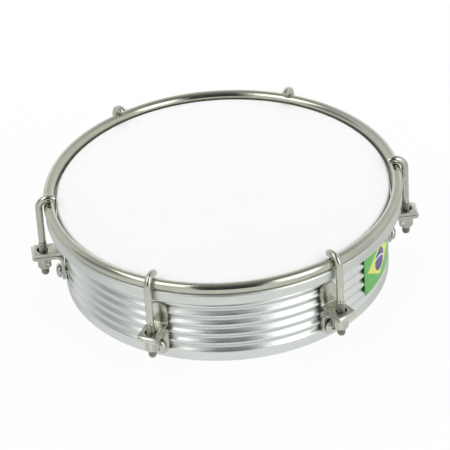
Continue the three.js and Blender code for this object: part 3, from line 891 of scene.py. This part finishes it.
def make_round_hoop():
    bm = bmesh.new()
    lay_upright = Matrix.Translation((HOOP_RADIUS, 0, HOOP_Z)) @ rotation(math.pi / 2, "X")
    bmesh.ops.create_circle(bm, cap_ends=False, radius=HOOP_ROD_RADIUS, segments=HOOP_SECTION_SIDES,
                            matrix=lay_upright)
    spin_round(bm, HOOP_STEPS)
    for vert in bm.verts:
        bearing = math.atan2(vert.co.y, vert.co.x)
        along = abs(bearing - WELD_TURN) * HOOP_RADIUS
        if along < WELD_HALF_LENGTH:
            swell = WELD_SWELL_SHARE * math.cos(math.pi / 2 * along / WELD_HALF_LENGTH) ** 2
            centre = Vector((math.cos(bearing), math.sin(bearing), 0)) * HOOP_RADIUS
            centre.z = HOOP_Z
            vert.co = centre + (vert.co - centre) * (1 + swell)
    return bm


finish_piece("round_hoop", make_round_hoop(), "hoop_set", "counter_hoop", hoop_nickel)

# %% [markdown]
# The hooks and bolts have real threads, because light breaks up on them even where they are tiny. A
# rolled thread is a helical ridge on a core. The ridge is one small outline, spun many turns round the
# rod while each step also lifts it, so that it climbs one pitch in a turn. Its ends are tapered into
# the core by pulling points inwards, and a number on each point says how deep in the thread it lies,
# which the finish reads as dirt.

# %% Threaded rod
THREAD_DEPTH = 0.40 * MM
THREAD_STEPS = 18
CORE_SIDES = 28
RIDGE_FOOT_SHARE = 0.44
RIDGE_CREST_SHARE = 0.10
RIDGE_ROOT = 0.06 * MM
TAPER_SHARE = 0.5
CREST_DIRT = 0.35


def dirt_layer(bm):
    """The number on each point that says how deep in a thread it lies; points start clean."""
    return bm.verts.layers.float.new(DIRT_ATTRIBUTE)


def make_thread(radius, low, high):
    """A core and its ridge about the Z axis, from low to high."""
    bm = bmesh.new()
    dirt = dirt_layer(bm)
    core_radius = radius - THREAD_DEPTH
    core = bmesh.ops.create_cone(bm, cap_ends=True, segments=CORE_SIDES, radius1=core_radius,
                                 radius2=core_radius, depth=high - low,
                                 matrix=Matrix.Translation((0, 0, (low + high) / 2)))
    for vert in core["verts"]:
        vert[dirt] = 1.0
    foot = THREAD_PITCH * RIDGE_FOOT_SHARE
    crest = THREAD_PITCH * RIDGE_CREST_SHARE
    start_z = low + foot
    steps = round((high - low - 2 * foot) / THREAD_PITCH * THREAD_STEPS)
    root = core_radius - RIDGE_ROOT
    outline = [(root, -foot), (radius, -crest), (radius, crest), (root, foot)]
    verts = [bm.verts.new((reach, 0, start_z + rise)) for reach, rise in outline]
    bmesh.ops.spin(bm, geom=[bm.faces.new(verts)], cent=(0, 0, 0), axis=(0, 0, 1),
                   dvec=(0, 0, THREAD_PITCH / THREAD_STEPS), angle=FULL_TURN * steps / THREAD_STEPS,
                   steps=steps, use_merge=False)
    core_verts = set(core["verts"])
    for vert in [vert for vert in bm.verts if vert not in core_verts]:
        reach = math.hypot(vert.co.x, vert.co.y)
        from_end = min(vert.co.z - low, high - vert.co.z)
        allowed = max(root, min(radius, core_radius + from_end * TAPER_SHARE))
        vert[dirt] = 1.0 if reach < core_radius else CREST_DIRT
        if reach > allowed:
            vert.co.x *= allowed / reach
            vert.co.y *= allowed / reach
    return bm


def joined(whole, *parts):
    """One bmesh that holds all the closed bodies."""
    for part in parts:
        mesh = bpy.data.meshes.new("part")
        part.to_mesh(mesh)
        part.free()
        whole.from_mesh(mesh)
        bpy.data.meshes.remove(mesh)
    bmesh.ops.recalc_face_normals(whole, faces=whole.faces[:])
    return whole


# %% [markdown]
# A hook is one length of wire: straight up from the thread, over the hoop in an arch, and down a little
# on the inside. The straight leg is a circle extruded downwards, and spinning its end face round the
# hoop makes the arch. The sawn tip is softened with a bevel.

# %% Hook wires
WIRE_SIDES = 28
ARCH_STEPS = 30
HOOK_TIP_TURN = math.radians(125)
HOOK_TIP_ROUNDING = 0.55 * MM
THREAD_TOP_Z = 25.0 * MM
HOOK_END_Z = 6.7 * MM
WIRE_FOOT_ROUNDING = 0.35 * MM
WIRE_FOOT_Z = THREAD_TOP_Z - WIRE_FOOT_ROUNDING


def only(kind, items):
    return [item for item in items if isinstance(item, kind)]


def make_hook_wire():
    bm = bmesh.new()
    bmesh.ops.create_circle(bm, cap_ends=True, radius=WIRE_RADIUS, segments=WIRE_SIDES,
                            matrix=Matrix.Translation((HOOK_AXIS_RADIUS, 0, ARCH_Z)))
    start = bm.faces[:][0]
    spun = bmesh.ops.spin(bm, geom=[start], cent=(HOOP_RADIUS, 0, ARCH_Z), axis=(0, -1, 0), dvec=(0, 0, 0),
                          angle=HOOK_TIP_TURN, steps=ARCH_STEPS, use_merge=False)
    tip = only(bmesh.types.BMFace, spun["geom_last"])[0]
    lowered = bmesh.ops.extrude_face_region(bm, geom=[start])["geom"]
    bmesh.ops.translate(bm, verts=only(bmesh.types.BMVert, lowered), vec=(0, 0, WIRE_FOOT_Z - ARCH_Z))
    bmesh.ops.delete(bm, geom=[start], context="FACES_ONLY")
    round_corners(bm, tip.edges, HOOK_TIP_ROUNDING, affect="EDGES")
    low_rim = [edge for edge in bm.edges
               if all(abs(vert.co.z - WIRE_FOOT_Z) < MERGE_DISTANCE for vert in edge.verts)]
    round_corners(bm, low_rim, WIRE_FOOT_ROUNDING, EASED_SEGMENTS, affect="EDGES")
    dirt_layer(bm)
    return joined(bm, moved(make_thread(THREAD_RADIUS, HOOK_END_Z, THREAD_TOP_Z), TO_HOOK_AXIS))


finish_at_stations("hook_wire", make_hook_wire(), "hoop_set", "hook_{}", hook_nickel)

# %% [markdown]
# A tuning nut is a hexagonal bar turned to a cone at its lower end. Such a shape is what two simple
# ones share: a hexagonal bar and a turned blank, cut with a boolean. The bore is drilled, and the
# edges are eased.

# %% Cone nuts
NUT_TOP_Z = 16.4 * MM
NUT_LOW_Z = 10.4 * MM
NUT_FLATS_RADIUS = 3.15 * MM
NUT_CONE_HEIGHT = 1.4 * MM
NUT_CONE_END_RADIUS = 2.65 * MM
NUT_CHAMFER = 0.4 * MM
NUT_BORE_RADIUS = 2.0 * MM
NUT_BORE_SIDES = 36
NUT_BLANK_SIDES = 72
NUT_EDGE = 0.12 * MM
HEXAGON_SIDES = 6


def corner_radius(flats_radius):
    return flats_radius / math.cos(math.pi / HEXAGON_SIDES)


def make_hexagonal_nut(flats_radius, outline):
    """A blank turned from the outline, cut by a hexagonal bar, drilled and eased."""
    low, high = outline[0][1] - CUT_OVERRUN, outline[-1][1] + CUT_OVERRUN
    blank, _ = wire(outline, closed=False)
    spin_round(blank, NUT_BLANK_SIDES)
    bar = cylinder(corner_radius(flats_radius), low, high, HEXAGON_SIDES)
    bore = cylinder(NUT_BORE_RADIUS, low, high, NUT_BORE_SIDES)
    return eased(carved(blank, ("INTERSECT", bar), ("DIFFERENCE", bore)), NUT_EDGE)


def make_cone_nut():
    corner = corner_radius(NUT_FLATS_RADIUS)
    outline = [(0, NUT_LOW_Z), (NUT_CONE_END_RADIUS, NUT_LOW_Z), (corner, NUT_LOW_Z + NUT_CONE_HEIGHT),
               (corner, NUT_TOP_Z - NUT_CHAMFER), (corner - NUT_CHAMFER, NUT_TOP_Z), (0, NUT_TOP_Z)]
    return make_hexagonal_nut(NUT_FLATS_RADIUS, outline)


finish_at_stations("cone_nut", make_cone_nut(), "nut_{}", "tuning_nut_{}", sheet_nickel,
                   TO_HOOK_AXIS)

# %% [markdown]
# A bracket is one strip of steel, folded: an upper leg against the shell, a shelf of two layers, and a
# lower leg that the bolt holds. It is made the way it is folded. The fold line is a wire with rounded
# corners, extruded across the strip's width. The strip's ends are rounded while it has no thickness,
# then Solidify thickens it evenly, and its holes are drilled last.

# %% Folded brackets
BRACKET_WIDTH = 9.0 * MM
BRACKET_SHEET = 1.5 * MM
LEG_FACE_RADIUS = 76.5 * MM
SHELF_END_RADIUS = 91.2 * MM
UPPER_LEG_TOP_Z = 30.5 * MM
LOWER_LEG_END_Z = 2.8 * MM
UPPER_BEND_RADIUS = 1.0 * MM
LOWER_BEND_RADIUS = 2.5 * MM
SHELF_HOLE_RADIUS = 2.7 * MM
SHELF_HOLE_OFFSET = 0.35 * MM
SHELF_HOLE_SIDES = 40
LEG_HOLE_SIDES = 32
BEND_SEGMENTS = 8
FOLD_SEGMENTS = 6
END_SEGMENTS = 12
ROUNDED_SHARE = 0.96
BRACKET_EDGE = 0.2 * MM


def make_fold_line():
    """The middle of the sheet, seen from the side."""
    leg = LEG_FACE_RADIUS + BRACKET_SHEET / 2
    upper = SHELF_TOP_Z - BRACKET_SHEET / 2
    lower = SHELF_UNDERSIDE_Z + BRACKET_SHEET / 2
    fold = SHELF_END_RADIUS - BRACKET_SHEET / 2
    bm, verts = wire([(leg, UPPER_LEG_TOP_Z), (leg, upper), (fold, upper), (fold, lower), (leg, lower),
                      (leg, LOWER_LEG_END_Z)], closed=False)
    round_corners(bm, [verts[1]], UPPER_BEND_RADIUS + BRACKET_SHEET / 2, BEND_SEGMENTS)
    round_corners(bm, [verts[4]], LOWER_BEND_RADIUS + BRACKET_SHEET / 2, BEND_SEGMENTS)
    round_corners(bm, [verts[2], verts[3]], (upper - lower) / 2 * ROUNDED_SHARE, FOLD_SEGMENTS)
    return bm


def make_folded_bracket():
    strip = moved(make_fold_line(), Matrix.Translation((0, -BRACKET_WIDTH / 2, 0)))
    ribbon = bmesh.ops.extrude_edge_only(strip, edges=strip.edges[:])["geom"]
    bmesh.ops.translate(strip, verts=only(bmesh.types.BMVert, ribbon), vec=(0, BRACKET_WIDTH, 0))
    ends = [vert for vert in strip.verts if len(vert.link_edges) == 2]
    round_corners(strip, ends, BRACKET_WIDTH / 2 * ROUNDED_SHARE, END_SEGMENTS)
    bmesh.ops.recalc_face_normals(strip, faces=strip.faces[:])
    shelf_drill = cylinder(SHELF_HOLE_RADIUS, SHELF_UNDERSIDE_Z - CUT_OVERRUN, SHELF_TOP_Z + CUT_OVERRUN,
                           SHELF_HOLE_SIDES)
    moved(shelf_drill, Matrix.Translation((HOOK_AXIS_RADIUS + SHELF_HOLE_OFFSET, 0, 0)))
    bolt_drill = cylinder(BOLT_HOLE_RADIUS, LEG_FACE_RADIUS - CUT_OVERRUN,
                          LEG_FACE_RADIUS + BRACKET_SHEET + CUT_OVERRUN, LEG_HOLE_SIDES)
    moved(bolt_drill, LAY_RADIALLY)
    whole = carved(thickened(strip, BRACKET_SHEET, 0.0), ("DIFFERENCE", shelf_drill),
                   ("DIFFERENCE", bolt_drill))
    return eased(whole, BRACKET_EDGE)


finish_at_stations("folded_bracket", make_folded_bracket(), "drum", "bracket_{}", sheet_nickel)

# %% [markdown]
# The bolts have low domed heads with a cross recess. The head and shank are turned, the recess is the
# shape of the driver's tip cut out of the dome, and the inner end has a real thread, because it shows
# when one looks into the drum. No two bolts stop at the same turn, so each is turned a bit further.

# %% Pan bolts
HEAD_FACE_RADIUS = 78.3 * MM
HEAD_RADIUS = 3.45 * MM
HEAD_EDGE = 0.8 * MM
HEAD_DOME = 1.6 * MM
HEAD_TOP_RADIUS = HEAD_FACE_RADIUS + HEAD_EDGE + HEAD_DOME
HEAD_RIM_ROUNDING = 0.25 * MM
HEAD_ARC_STEPS = 10
BOLT_STEPS = 48
BOLT_END_RADIUS = 67.86 * MM
SHANK_END_RADIUS = 73.0 * MM
RECESS_REACH = 1.75 * MM
RECESS_WIDTH = 0.85 * MM
RECESS_DEPTH = 1.5 * MM
RECESS_OVERRUN = 0.5 * MM
RECESS_TIP_SHARES = (0.35, 0.8, 1)
BOLT_TWIST = math.radians(37)


def make_recess():
    """The tip of a cross driver: two tapered blades, point down, about the Z axis."""
    top = HEAD_TOP_RADIUS + RECESS_OVERRUN
    bottom = HEAD_TOP_RADIUS - RECESS_DEPTH
    lift = Matrix.Translation((0, 0, (top + bottom) / 2))
    blades = []
    for turn in (0, math.pi / 2):
        blade = bmesh.new()
        bmesh.ops.create_cube(blade, size=1)
        tip = [vert for vert in blade.verts if vert.co.z < 0]
        bmesh.ops.scale(blade, verts=tip, vec=RECESS_TIP_SHARES)
        bmesh.ops.scale(blade, verts=blade.verts[:], vec=(2 * RECESS_REACH, RECESS_WIDTH, top - bottom))
        blades.append(moved(blade, rotation(turn) @ lift))
    return blades


def make_pan_bolt():
    outline = [(0, SHANK_END_RADIUS), (BOLT_RADIUS, SHANK_END_RADIUS), (BOLT_RADIUS, HEAD_FACE_RADIUS),
               (HEAD_RADIUS, HEAD_FACE_RADIUS)]
    for step in range(HEAD_ARC_STEPS):
        turn = math.pi / 2 * step / HEAD_ARC_STEPS
        rise = HEAD_EDGE + HEAD_DOME * math.sin(turn)
        outline.append((HEAD_RADIUS * math.cos(turn), HEAD_FACE_RADIUS + rise))
    outline.append((0, HEAD_TOP_RADIUS))
    head, verts = wire(outline, closed=False)
    round_corners(head, [verts[3]], HEAD_RIM_ROUNDING)
    spin_round(head, BOLT_STEPS)
    head = carved(head, *[("DIFFERENCE", blade) for blade in make_recess()])
    dirt_layer(head)
    return joined(head, make_thread(BOLT_RADIUS, BOLT_END_RADIUS, SHANK_END_RADIUS + THREAD_PITCH))


finish_at_stations("pan_bolt", make_pan_bolt(), "drum", "bracket_bolt_{}", zinc_plate,
                   LAY_RADIALLY, BOLT_TWIST)

# %% [markdown]
# Inside the shell each bolt has a washer and a hexagonal nut, whose corners are chamfered on both
# faces. They are seen from below, so they get the same care as the outside.

# %% Washers and inner nuts
WASHER_FACE_RADIUS = 73.26 * MM
WASHER_THICKNESS = 0.8 * MM
WASHER_RADIUS = 4.5 * MM
WASHER_ROUNDING = 0.2 * MM
WASHER_SEGMENTS = 3
WASHER_STEPS = 60
INNER_NUT_FACE_RADIUS = 72.16 * MM
INNER_NUT_HEIGHT = 3.2 * MM
INNER_NUT_FLATS_RADIUS = 3.5 * MM
INNER_NUT_CHAMFER = 0.45 * MM


def make_washer():
    low = WASHER_FACE_RADIUS - WASHER_THICKNESS
    bm, verts = wire([(BOLT_HOLE_RADIUS, low), (WASHER_RADIUS, low), (WASHER_RADIUS, WASHER_FACE_RADIUS),
                      (BOLT_HOLE_RADIUS, WASHER_FACE_RADIUS)], closed=True)
    round_corners(bm, verts, WASHER_ROUNDING, WASHER_SEGMENTS)
    return spin_round(bm, WASHER_STEPS)


def make_inner_nut():
    low = INNER_NUT_FACE_RADIUS - INNER_NUT_HEIGHT
    corner = corner_radius(INNER_NUT_FLATS_RADIUS)
    flat = corner - INNER_NUT_CHAMFER
    outline = [(0, low), (flat, low), (corner, low + INNER_NUT_CHAMFER / 2),
               (corner, INNER_NUT_FACE_RADIUS - INNER_NUT_CHAMFER / 2),
               (flat, INNER_NUT_FACE_RADIUS), (0, INNER_NUT_FACE_RADIUS)]
    return make_hexagonal_nut(INNER_NUT_FLATS_RADIUS, outline)


finish_at_stations("inner_washer", make_washer(), "drum", "bolt_washer_{}", zinc_plate, LAY_RADIALLY)
finish_at_stations("inner_nut", make_inner_nut(), "drum", "bolt_nut_{}", zinc_plate, LAY_RADIALLY)

# %% [markdown]
# The sticker is a thin sheet that touches the ribs and bridges the grooves, where it sinks a hair's
# breadth. A flat grid is bent round the shell and given its thickness. It isn't a cloth, so nothing
# about it is simulated.

# %% Flag print
STICKER_FILM = 0.14 * MM
STICKER_LIFT = 0.04 * MM
STICKER_SAG = 0.10 * MM
STICKER_COLUMNS = 72
STICKER_ROWS = 60


def make_flag_sheet():
    bm = bmesh.new()
    bmesh.ops.create_grid(bm, x_segments=STICKER_COLUMNS, y_segments=STICKER_ROWS, size=0.5)
    for vert in bm.verts:
        bearing = STICKER_TURN + vert.co.x * STICKER_WIDTH / STICKER_RADIUS
        z = STICKER_Z + vert.co.y * STICKER_HEIGHT
        phase = FULL_TURN * (z - LOWEST_GROOVE_Z) / RIB_PITCH
        reach = SHELL_RADIUS + STICKER_LIFT - STICKER_SAG * (1 + math.cos(phase)) / 2
        vert.co = (reach * math.cos(bearing), reach * math.sin(bearing), z)
    return thickened(bm, STICKER_FILM, 1.0)


finish_piece("flag_print", make_flag_sheet(), "drum", "flag_sticker", flag_print_vinyl)

# %% [markdown]
# The studio is plain. The drum stands on a white floor. Most of what the camera sees of that floor is a
# steady white, and the rest is lit like any surface, so the drum's soft shadow stays. In the metal the
# steady part is smaller, because the real floor close to a drum is shaded by it, and that shade is what
# gives the lower half of the hoop its grey. The steady white that the metal mirrors is also painted
# darker beside and behind the drum than in front of it: a painted shade on the floor.

# %% Floor
FLOOR_HALF = 6.0
FLOOR_WHITES = (colour(0.93, 0.93, 0.93), colour(0.92, 0.92, 0.92))
FLOOR_ROUGHNESS = 0.7
FLOOR_SPECULAR = 0.1
FLOOR_MOTTLE_SCALE = 9.0
FLOOR_MOTTLE_LOOK = {"Detail": 2.0}
STEADY_SHARE_SEEN = 0.93
STEADY_SHARE_MIRRORED = 0.67
# Painted shade: the steady white seen in metal is full in front and dimmer at the sides and back.
FLOOR_FRONT_LEVEL = 1.0
FLOOR_PAINTED_SHADE_LEVEL = 0.72
FLOOR_PAINTED_SHADE_REACH = (0.25, 0.80)


def make_floor():
    bm = bmesh.new()
    bmesh.ops.create_grid(bm, x_segments=1, y_segments=1, size=FLOOR_HALF)
    floor = as_object("studio_floor", bm)
    material, tree, lit = new_material("studio floor", Roughness=FLOOR_ROUGHNESS,
                                       Specular_IOR_Level=FLOOR_SPECULAR)
    mottle = noise(tree, own_place(tree), FLOOR_MOTTLE_SCALE, FLOOR_MOTTLE_LOOK)
    tree.links.new(mix_colour(tree, mottle, *FLOOR_WHITES), lit.inputs["Base Color"])
    rays = add_node(tree, "ShaderNodeLightPath").outputs
    _, y, _, radius = place_parts(tree)
    # Painted shade: the steady white fades from full in front to a lower level at the sides and back.
    frontward = maths(tree, "DIVIDE", maths(tree, "MULTIPLY", y, -1.0), radius)
    level = span(tree, frontward, *FLOOR_PAINTED_SHADE_REACH, FLOOR_PAINTED_SHADE_LEVEL, FLOOR_FRONT_LEVEL, smooth=True)
    strength = maths(tree, "MAXIMUM", level, rays["Is Camera Ray"])
    steady = add_node(tree, "ShaderNodeEmission", {"Color": colour(1, 1, 1), "Strength": strength})
    mirrored = maths(tree, "MAXIMUM", rays["Is Glossy Ray"], rays["Is Transmission Ray"])
    share = maths(tree, "MAXIMUM", maths(tree, "MULTIPLY", rays["Is Camera Ray"], STEADY_SHARE_SEEN),
                  maths(tree, "MULTIPLY", mirrored, STEADY_SHARE_MIRRORED))
    blend = add_node(tree, "ShaderNodeMixShader", {0: share, 1: lit.outputs[0], 2: steady.outputs[0]})
    clear = add_node(tree, "ShaderNodeBsdfTransparent")
    under = add_node(tree, "ShaderNodeNewGeometry").outputs["Backfacing"]
    sided = add_node(tree, "ShaderNodeMixShader", {0: under, 1: blend.outputs[0], 2: clear.outputs[0]})
    tree.links.new(sided.outputs[0], tree.nodes["Material Output"].inputs["Surface"])
    floor.data.materials.append(material)
    floor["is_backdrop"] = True
    print(floor.name, "is", 2 * FLOOR_HALF, "m wide")


make_floor()

# %% [markdown]
# Metal shows what is around it, so the room matters as much as the lamps. Read from the hoop, which
# mirrors every direction in turn, the room is a pale grey, dimmer overhead and in one patch on the
# left, and paler low down at the back. Straight in front, from just above the floor to overhead, runs a
# dark gap between the two soft boxes. It draws the near-black line along the front of the hoop.

# %% Room
ROOM_GREY = 0.90
GAP_HALF_WIDTH = (0.27, 0.37)
GAP_FADES_BACK = (-0.80, 0.40)
GAP_RISES = (-0.04, 0.18)
GAP_DEPTH_FRONT = 0.93
GAP_DEPTH_BACK = 0.10
DIM_PATCH_TOWARDS = (-0.90, -0.12, 0.42)
DIM_PATCH_REACH = (0.86, 0.98)
DIM_PATCH_LEVEL = 0.38
CEILING_REACH = (0.55, 0.98)
CEILING_LEVEL = 0.46
BACK_GLOW = 0.80
BACK_GLOW_REACH = (0.62, 1.0)
BACK_GLOW_HEIGHT = 0.42


def make_room():
    world = bpy.data.worlds.new("studio room")
    world.use_nodes = True
    bpy.context.scene.world = world
    tree = world.node_tree
    wall = tree.nodes["Background"]
    towards = add_node(tree, "ShaderNodeTexCoord").outputs["Generated"]
    x, y, z = add_node(tree, "ShaderNodeSeparateXYZ", {0: towards}).outputs
    across = span(tree, maths(tree, "ABSOLUTE", x), *GAP_HALF_WIDTH, 1.0, 0.0, smooth=True)
    depth = span(tree, y, *GAP_FADES_BACK, GAP_DEPTH_FRONT, GAP_DEPTH_BACK, smooth=True)
    risen = span(tree, z, *GAP_RISES, 0.0, 1.0, smooth=True)
    dark = maths(tree, "MULTIPLY", across, maths(tree, "MULTIPLY", depth, risen))
    patch = tuple(Vector(DIM_PATCH_TOWARDS).normalized())
    nearness = vector_maths(tree, "DOT_PRODUCT", towards, patch)
    left = span(tree, nearness, *DIM_PATCH_REACH, 1.0, DIM_PATCH_LEVEL, smooth=True)
    ceiling = span(tree, z, *CEILING_REACH, 1.0, CEILING_LEVEL, smooth=True)
    grey = maths(tree, "MULTIPLY", maths(tree, "MULTIPLY", left, ceiling), ROOM_GREY)
    behind = maths(tree, "MULTIPLY", span(tree, y, *BACK_GLOW_REACH, 0.0, BACK_GLOW, smooth=True),
                   span(tree, z, 0.0, BACK_GLOW_HEIGHT, 1.0, 0.0, smooth=True))
    level = added(tree, behind, (grey, maths(tree, "SUBTRACT", 1.0, dark)))
    camera_ray = add_node(tree, "ShaderNodeLightPath").outputs["Is Camera Ray"]
    tree.links.new(maths(tree, "MAXIMUM", level, camera_ray), wall.inputs["Strength"])
    wall.inputs["Color"].default_value = colour(1, 1, 1)
    print(world.name, "has", len(tree.nodes), "nodes")


make_room()

# %% [markdown]
# Two large soft boxes do most of the lighting. One stands to the left and reaches overhead, the other
# stands to the right and a little in front, tall and narrow. A weaker fill above and behind lifts the
# white head. It is hidden from mirrored rays, so the metal shows the two boxes only.

# %% Soft boxes
BOXES = {
    "left_box": {"towards": (-0.49, -0.269, 0.829), "distance": 1.2, "size": (0.94, 0.64), "level": 1.9,
                 "roll": math.radians(-52), "mirrored": True},
    "right_box": {"towards": (0.574, -0.585, 0.573), "distance": 1.2, "size": (0.47, 1.10), "level": 2.1,
                  "roll": math.radians(-13), "mirrored": True},
    "overhead_fill": {"towards": (0.10, 0.68, 0.72), "distance": 0.75, "size": (0.5, 0.5), "level": 1.75,
                      "roll": 0.0, "mirrored": False},
}


def make_soft_box(name, towards, distance, size, level, roll, mirrored):
    """An area lamp whose surface is as bright as level times a white page."""
    data = bpy.data.lights.new(name, "AREA")
    data.shape = "RECTANGLE"
    data.size, data.size_y = size
    data.energy = level * math.pi * size[0] * size[1]
    lamp = bpy.data.objects.new(name, data)
    direction = Vector(towards).normalized()
    aim = direction.to_track_quat("Z", "Y").to_matrix().to_4x4()
    lamp.matrix_world = Matrix.Translation(direction * distance) @ aim @ rotation(roll)
    lamp.visible_camera = False
    lamp.visible_glossy = mirrored
    bpy.context.scene.collection.objects.link(lamp)
    print(name, round(data.energy, 2), "W")


for name, settings in BOXES.items():
    make_soft_box(name, **settings)

bpy.context.scene.view_settings.view_transform = "Standard"

# %% [markdown]
# At the end the dressed drum is measured, and its box is printed beside the frame's.

# %% Measure and finish
dressed_box = [list(corner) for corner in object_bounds()]
for label, corners in (("frame", cad_box), ("dressed", dressed_box)):
    print(label, "box, mm:", [[round(c / MM, 2) for c in corner] for corner in corners])
